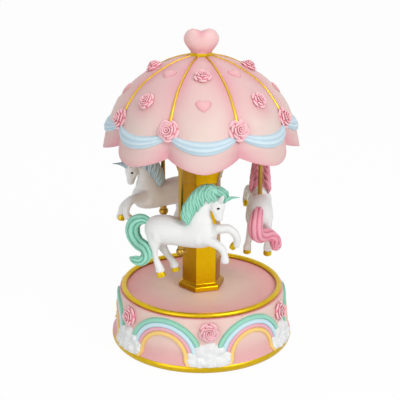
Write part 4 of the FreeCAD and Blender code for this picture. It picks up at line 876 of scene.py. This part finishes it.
# Rings of the outline shrink towards the middle as the form swells, and the cleft softens on the way
def pillow(name, outline, middle, soft, depth, front_only, shade_rule):
    points = []
    shade = []
    rings = 9
    count = len(outline)
    stations = [i / rings for i in range(rings)] if front_only else [i / rings for i in range(-rings + 1, rings)]
    for station in stations:
        swell = math.cos(station * math.pi / 2) ** 0.62
        for x, y in outline:
            scale = swell * (swell ** 2 + (1 - swell ** 2) * soft / math.hypot(x, y - middle))
            px, py = x * scale, middle + (y - middle) * scale
            points.append((px, py, depth * math.sin(station * math.pi / 2)))
            shade.append(shade_rule(px, py, station))
    faces = sleeve(len(stations), count)
    for ring, side in ((0, -1), (len(stations) - 1, 1)):
        points.append((0, middle, side * depth if not (front_only and side < 0) else -0.3))
        shade.append(shade_rule(0, middle, side))
        for i in range(count):
            k = (i + 1) % count
            corner = (ring * count + k, ring * count + i, len(points) - 1)
            faces.append(corner if side < 0 else corner[::-1])
    return piece(name, points, faces, shade)


# Painted shade: deepest at the rim, pale on the top of the pillow
def heart_edge_shade(x, y, station):
    return 0.95 - 0.45 * max(station, 0)


half_heart = [(0, 2.1), (0.8, 3.1), (2.2, 3.5), (3.7, 2.6), (3.95, 0.9), (2.4, -1.7), (0, -3.5)]
outline = heart_outline(half_heart, 24)
low_heart = pillow("low_heart", outline, middle=0.4, soft=2.9, depth=1.0, front_only=True, shade_rule=heart_edge_shade)
high_heart = pillow("high_heart", outline, middle=0.4, soft=2.9, depth=1.0, front_only=True, shade_rule=heart_edge_shade)
seat(low_heart, canopy_radius(LOW_RISE, 0) - 0.15, SKIRT + LOW_RISE, slope(LOW_RISE))
seat(high_heart, canopy_radius(HIGH_RISE, 0) - 0.15, SKIRT + HIGH_RISE, slope(HIGH_RISE))
heart_pink = painted_resin("heart_pink_resin", "#f2cfca", "#e69fa7", roughness=0.42, drift_mm=6.0)
repeat(low_heart, PANELS // 2, CANOPY_TURN, heart_pink)
repeat(high_heart, PANELS // 2, ODD_PANELS, heart_pink)
hearts = join("panel_heart_castings", low_heart, high_heart)
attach(hearts, "carousel")
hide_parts("panel_hearts")


# Finial: a plump heart of the same resin on a short neck, pinned to the crown. It is pale on its lobes, with
# painted shade deeper pink in the cleft and down to the neck.
CROWN = SKIRT + CROWN_RISE


# Painted shade in the cleft and on the lower half down to the neck
def finial_shade(x, y, station):
    cleft = math.exp(-(x / 2.4) ** 2) * smooth_step(9, 12.5, y)
    return 0.25 + 0.7 * smooth_step(7, 1, y) + 0.6 * cleft


half_finial = [(0, 12.5), (1.8, 13.3), (4.6, 14.0), (7.7, 12.7), (9.5, 9.4), (8.9, 6.2), (7.2, 3.7), (5.9, 2.0),
               (5.4, 0.8), (5.3, 0.0)]
outline = heart_outline(half_finial, 36)
finial = pillow("heart_finial_casting", outline, middle=7.7, soft=6.6, depth=6.0, front_only=False,
                shade_rule=finial_shade)
finial.data.transform(Matrix.Translation((0, 0, CROWN * MM)) @ Matrix.Rotation(math.radians(90), 4, "X"))
neck, rings = lathed([(0.3, CROWN), (5.3, CROWN), (5.2, CROWN + 1.2), (4.8, CROWN + 2.6), (0.3, CROWN + 2.8)], 48)
neck_piece = piece("neck", neck, rings, [0.9] * len(neck))
finial = join("heart_finial_casting", finial, neck_piece)
finial.data.shade_smooth()
finial.data.materials.append(heart_pink)
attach(finial, "carousel")
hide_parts("heart_finial")


# Poles and ball nuts: drawn brass rod under a lacquer that has darkened a little, with a fine streak along the
# draw, and a turned brass ball screwed on under each unicorn.
pole_brass = machined("lacquered_brass_rod", "#b08a3c", roughness=0.26, metallic=1.0, grain_mm=0.6,
                      stretch=(1, 1, 0.05))
for name in POLE_TURNS:
    finish_nodes(pole_brass, "pole_" + name, "ball_" + name)


# Unicorns: three castings from one mould in satin white sprayed resin, each slid on its pole and facing the way it
# turns. Hooves are gilt, eyes are a dot of black gloss enamel, and mane, tail and horn are brushed in mint, pink
# or blue, with painted shade darkening the grooves.
SADDLE = 82.0


# A form through stations: forward of the pole, over the saddle and outwards from the pole's circle, then half a
# thickness along the flank and half a width across it
def tube(stations, steps=28, sides=20, grooves=0, depth=0.0, twist=0.0):
    line = [(place,) + tuple(station) for place, station in enumerate(stations)]
    last = len(stations) - 1
    points = []
    shade = []
    for step in range(steps + 1):
        place = last * step / steps
        forward, up, out, thick, wide = between(line, place)
        ahead = between(line, min(place + 0.05, last))
        behind = between(line, max(place - 0.05, 0))
        run = math.hypot(ahead[0] - behind[0], ahead[1] - behind[1])
        across = Vector((behind[1] - ahead[1], 0, ahead[0] - behind[0])) / run
        middle = Vector((forward, -POLE_CIRCLE - out, SADDLE + up))
        for side in range(sides):
            turn = 2 * math.pi * side / sides
            crease = 1 - abs(math.cos(grooves * turn / 2 + twist * place / last)) if grooves else 0.0
            swell = 1 - depth * crease * crease
            points.append(middle + across * (thick * swell * math.cos(turn))
                          + Vector((0, -wide * swell * math.sin(turn), 0)))
            # Painted shade deepens towards the bottom of each groove
            shade.append(0.95 * crease ** 1.5)
    return points, capped_sleeve(steps + 1, sides), shade


def tubes(name, *forms):
    points = []
    faces = []
    shade = []
    for more_points, more_faces, more_shade in forms:
        faces += [tuple(i + len(points) for i in face) for face in more_faces]
        points += more_points
        shade += more_shade
    return piece(name, points, faces, shade)


# Trunk, neck, head and legs, with the swells of ear, cheek, haunch and shoulder, are fused into one casting
torso = tube(((-20.6, -7.0, 0, 1.5, 1.5), (-18.8, -6.9, 0, 5.0, 4.6), (-15.0, -6.6, 0, 7.3, 6.8),
              (-9.5, -6.4, 0, 8.2, 7.6), (-3.0, -6.7, 0, 7.8, 7.2), (2.5, -7.3, 0, 7.4, 6.8),
              (9.0, -6.5, 0, 8.0, 6.9), (14.5, -5.7, 0, 7.4, 6.2), (18.3, -4.8, 0, 4.8, 4.4),
              (19.6, -4.4, 0, 1.4, 1.4)))
neck = tube(((8.8, -6.0, 0, 7.2, 5.6), (10.6, 1.0, 0, 7.4, 5.2), (11.6, 5.6, 0, 5.2, 4.2),
             (13.6, 10.4, 0, 4.0, 3.5), (17.0, 14.0, 0, 3.2, 2.8)))
head = tube(((18.8, 16.4, 0, 1.4, 1.3), (19.6, 14.2, 0, 3.6, 2.9), (20.5, 10.8, 0, 4.2, 3.2),
             (20.9, 7.0, 0, 3.1, 2.5), (21.3, 4.6, 0, 2.4, 2.1), (21.4, 3.0, 0, 2.0, 1.8), (21.4, 2.3, 0, 1.2, 1.1)))
near_hind = tube(((-13.6, -7.9, 3.0, 5.6, 3.8), (-13.6, -12.1, 4.0, 4.1, 3.4), (-13.7, -16.5, 4.6, 2.3, 2.4),
                  (-13.5, -19.8, 5.0, 1.7, 1.8), (-12.1, -23.8, 5.0, 1.8, 1.9), (-10.8, -27.0, 5.0, 2.3, 2.3),
                  (-10.3, -29.2, 5.0, 2.6, 2.5)))
far_hind = tube(((-12.4, -11.0, -3.0, 4.6, 3.6), (-12.9, -17.2, -4.4, 2.9, 2.7), (-10.5, -22.7, -5.6, 1.9, 2.0),
                 (-7.8, -26.2, -6.2, 1.8, 1.9), (-6.6, -28.9, -6.6, 2.4, 2.3), (-6.2, -30.6, -6.6, 2.5, 2.5)))
near_fore = tube(((10.8, -7.0, 2.8, 4.6, 3.4), (17.6, -8.4, 3.8, 2.9, 2.7), (22.4, -10.2, 4.2, 2.3, 2.2),
                  (25.2, -12.8, 4.2, 2.0, 2.0), (26.0, -15.6, 4.4, 1.9, 1.8), (26.5, -18.1, 5.0, 2.3, 1.6),
                  (26.7, -19.7, 5.0, 1.6, 1.1)))
far_fore = tube(((13.0, -4.9, -2.8, 4.2, 3.4), (18.6, -4.7, -4.8, 2.8, 2.6), (24.2, -4.4, -6.8, 2.5, 2.3),
                 (27.6, -6.9, -7.8, 2.2, 2.1), (29.1, -10.3, -8.4, 2.0, 1.9), (28.7, -12.8, -8.6, 2.0, 2.0),
                 (28.1, -14.8, -8.6, 1.9, 1.9)))
ears = [tube(((22.6, 13.4, 2.1 * side, 1.4, 1.0), (24.0, 16.0, 3.3 * side, 1.4, 1.0),
              (25.4, 18.3, 4.3 * side, 0.35, 0.35))) for side in (1, -1)]
jowl = [tube(((18.6, 8.4, 1.9 * side, 0.6, 0.5), (19.2, 9.0, 2.0 * side, 2.3, 1.4),
              (20.2, 9.6, 1.9 * side, 2.4, 1.4), (21.0, 10.0, 1.7 * side, 0.5, 0.5))) for side in (1, -1)]
haunch = [tube(((-16.6, -9.0, 3.2 * side, 1.0, 1.0), (-13.6, -8.6, 3.9 * side, 5.2, 3.6),
                (-10.0, -8.8, 3.9 * side, 5.2, 3.5), (-6.6, -9.2, 3.2 * side, 1.0, 1.0))) for side in (1, -1)]
shoulder = [tube(((7.4, -7.6, 3.2 * side, 1.0, 1.0), (10.0, -7.2, 3.8 * side, 4.6, 3.1),
                  (13.4, -7.0, 3.4 * side, 4.2, 2.9), (16.0, -7.0, 2.8 * side, 1.0, 1.0))) for side in (1, -1)]
body = tubes("unicorn_body", torso, neck, head, near_hind, far_hind, near_fore, far_fore, *ears, *jowl, *haunch,
             *shoulder)
fuse(body, 0.42)

# Painted shade in grey lies under the belly, jaw and legs, on the faces that turn downwards
tint(body.data, [0.15 + 0.5 * max(-v.normal.z, 0) ** 2 for v in body.data.vertices])
white_resin = painted_resin("white_sprayed_resin", "#f1f2f0", "#d9dad8", roughness=0.42, drift_mm=6.0)
body.data.materials.append(white_resin)

# Hooves and eyes are forms of their own, so that their paint ends on a crisp edge
hooves = tubes("unicorn_hooves",
               tube(((-10.4, -29.2, 5.0, 2.2, 2.1), (-10.0, -30.4, 5.0, 2.4, 2.3), (-9.5, -31.9, 5.0, 2.6, 2.4))),
               tube(((-6.4, -30.0, -6.6, 2.0, 2.0), (-6.1, -31.2, -6.7, 2.2, 2.2), (-5.7, -32.8, -6.7, 2.4, 2.3))),
               tube(((26.1, -16.6, 3.3, 1.7, 1.5), (26.4, -18.4, 3.1, 2.1, 1.7), (26.6, -19.6, 3.0, 1.9, 1.5))),
               tube(((27.6, -13.0, -8.5, 1.5, 1.5), (26.9, -14.5, -8.4, 1.8, 1.8), (26.0, -16.1, -8.4, 1.5, 1.5))))
hooves.data.set_sharp_from_angle(angle=math.radians(50))
hooves.data.materials.append(gold)
dots = [tube(((21.0, 9.6, 2.75 * side, 0.1, 0.15), (21.5, 9.85, 2.8 * side, 0.55, 0.5),
              (22.2, 10.1, 2.65 * side, 0.6, 0.5), (22.9, 10.2, 2.3 * side, 0.1, 0.15)), steps=12, sides=12)
        for side in (1, -1)]
eyes = tubes("unicorn_eyes", *dots)
black_enamel = machined("black_gloss_enamel", "#141214", roughness=0.16, metallic=0.0, grain_mm=0.5)
eyes.data.materials.append(black_enamel)

# Locks of the mane from the brow back to the withers: where each leaves the crest, bends and ends, and how far
# out on the flank it lies
locks = [((19.8, 20.8), (22.6, 18.2), (25.6, 15.0), 1.6), ((20.0, 20.8), (18.4, 17.2), (19.6, 13.2), 3.2),
         ((17.8, 21.8), (15.6, 16.9), (16.6, 12.2), 3.3), ((14.8, 21.6), (12.4, 16.4), (13.2, 10.2), 3.4),
         ((11.9, 20.6), (9.9, 14.2), (10.8, 7.2), 3.8), ((9.6, 18.8), (7.7, 12.4), (8.8, 5.2), 4.1),
         ((7.4, 16.2), (6.0, 9.2), (7.4, 2.8), 4.5), ((5.6, 12.8), (4.6, 6.4), (6.2, 0.8), 4.7),
         ((4.8, 8.8), (4.0, 3.8), (5.0, -0.8), 4.9)]
crest = tube(((25.2, 15.6, 0, 0.8, 1.0), (22.2, 17.9, 0, 2.2, 2.6), (17.2, 18.8, 0, 2.9, 3.4),
              (12.2, 17.0, 0, 3.6, 4.0), (9.0, 12.6, 0, 3.6, 4.4), (7.3, 6.8, 0, 3.0, 4.4), (6.3, 2.0, 0, 2.1, 4.6),
              (5.4, -0.8, 0, 0.9, 3.2)))
hair = [crest]
lots = random.Random(11)
for side in (1, -1):
    for start, bend, end, flank in locks:
        sway = lots.uniform(0.4, 0.9)
        upper = ((start[0] + bend[0]) / 2 - sway, (start[1] + bend[1]) / 2)
        lower = ((bend[0] + end[0]) / 2 + sway, (bend[1] + end[1]) / 2)
        hair.append(tube((start + (0.9 * side, 0.8, 0.7), upper + (0.85 * flank * side, 1.9, 1.2),
                          bend + (1.06 * flank * side, 2.1, 1.25), lower + (1.1 * flank * side, 1.6, 1.0),
                          end + (0.98 * flank * side, 0.25, 0.25)), steps=22, sides=30, grooves=6, depth=0.3,
                         twist=lots.uniform(1.0, 2.2)))
tail = tube(((-17.6, -3.6, 0, 1.8, 1.8), (-21.2, -2.2, -0.4, 2.7, 2.7), (-24.8, -3.0, -1.0, 3.3, 3.4),
             (-27.8, -5.6, -1.6, 3.9, 3.8), (-29.0, -9.2, -2.0, 4.2, 4.1), (-28.0, -13.0, -1.4, 4.1, 4.1),
             (-24.4, -15.6, 1.0, 4.0, 4.1), (-19.4, -16.6, 4.8, 3.7, 4.0), (-16.8, -19.4, 8.4, 3.1, 3.8),
             (-19.4, -22.3, 9.6, 2.8, 3.3), (-23.8, -22.3, 9.3, 2.2, 2.6), (-26.4, -21.4, 9.0, 0.5, 0.7)),
            steps=90, sides=60, grooves=7, depth=0.26, twist=2.6)
horn = tube(((23.4, 13.8, 0, 2.1, 1.8), (25.4, 14.8, 0, 1.5, 1.35), (28.4, 15.8, 0, 0.8, 0.75),
             (32.7, 16.6, 0, 0.15, 0.15)), steps=30, sides=16, grooves=3, depth=0.22, twist=9.0)
mane = tubes("unicorn_hair", *hair, tail, horn)

# Each casting has its own turn on the pole, its own lift and its own enamel on the hair
for name, yaw, lift, pale, deep in (("front", 0.0, 0.0, "#a0e0c9", "#4a9c82"),
                                    ("right", -15.0, 1.0, "#f3a9b8", "#cf6a80"),
                                    ("left", -10.0, 2.5, "#c3d9e2", "#8fb0bd")):
    brushed = painted_resin(name + "_hair_enamel", pale, deep, roughness=0.45, drift_mm=4.0)
    to_pole = Matrix.Translation((0, POLE_CIRCLE * MM, 0))
    on_pole = Matrix.Translation((0, -POLE_CIRCLE * MM, lift * MM)) @ Matrix.Rotation(math.radians(yaw), 4, "Z")
    turn = Matrix.Rotation(math.radians(POLE_TURNS[name]), 4, "Z") @ on_pole @ to_pole
    for form in (body, hooves, eyes, mane):
        made = bpy.data.objects.new(form.name + "_" + name, form.data.copy())
        made.data.transform(turn)
        scene.collection.objects.link(made)
        if form == mane:
            made.data.materials.append(brushed)
        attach(made, "carousel")
        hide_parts("unicorn_" + name)
for form in (body, hooves, eyes, mane):
    bpy.data.objects.remove(form)
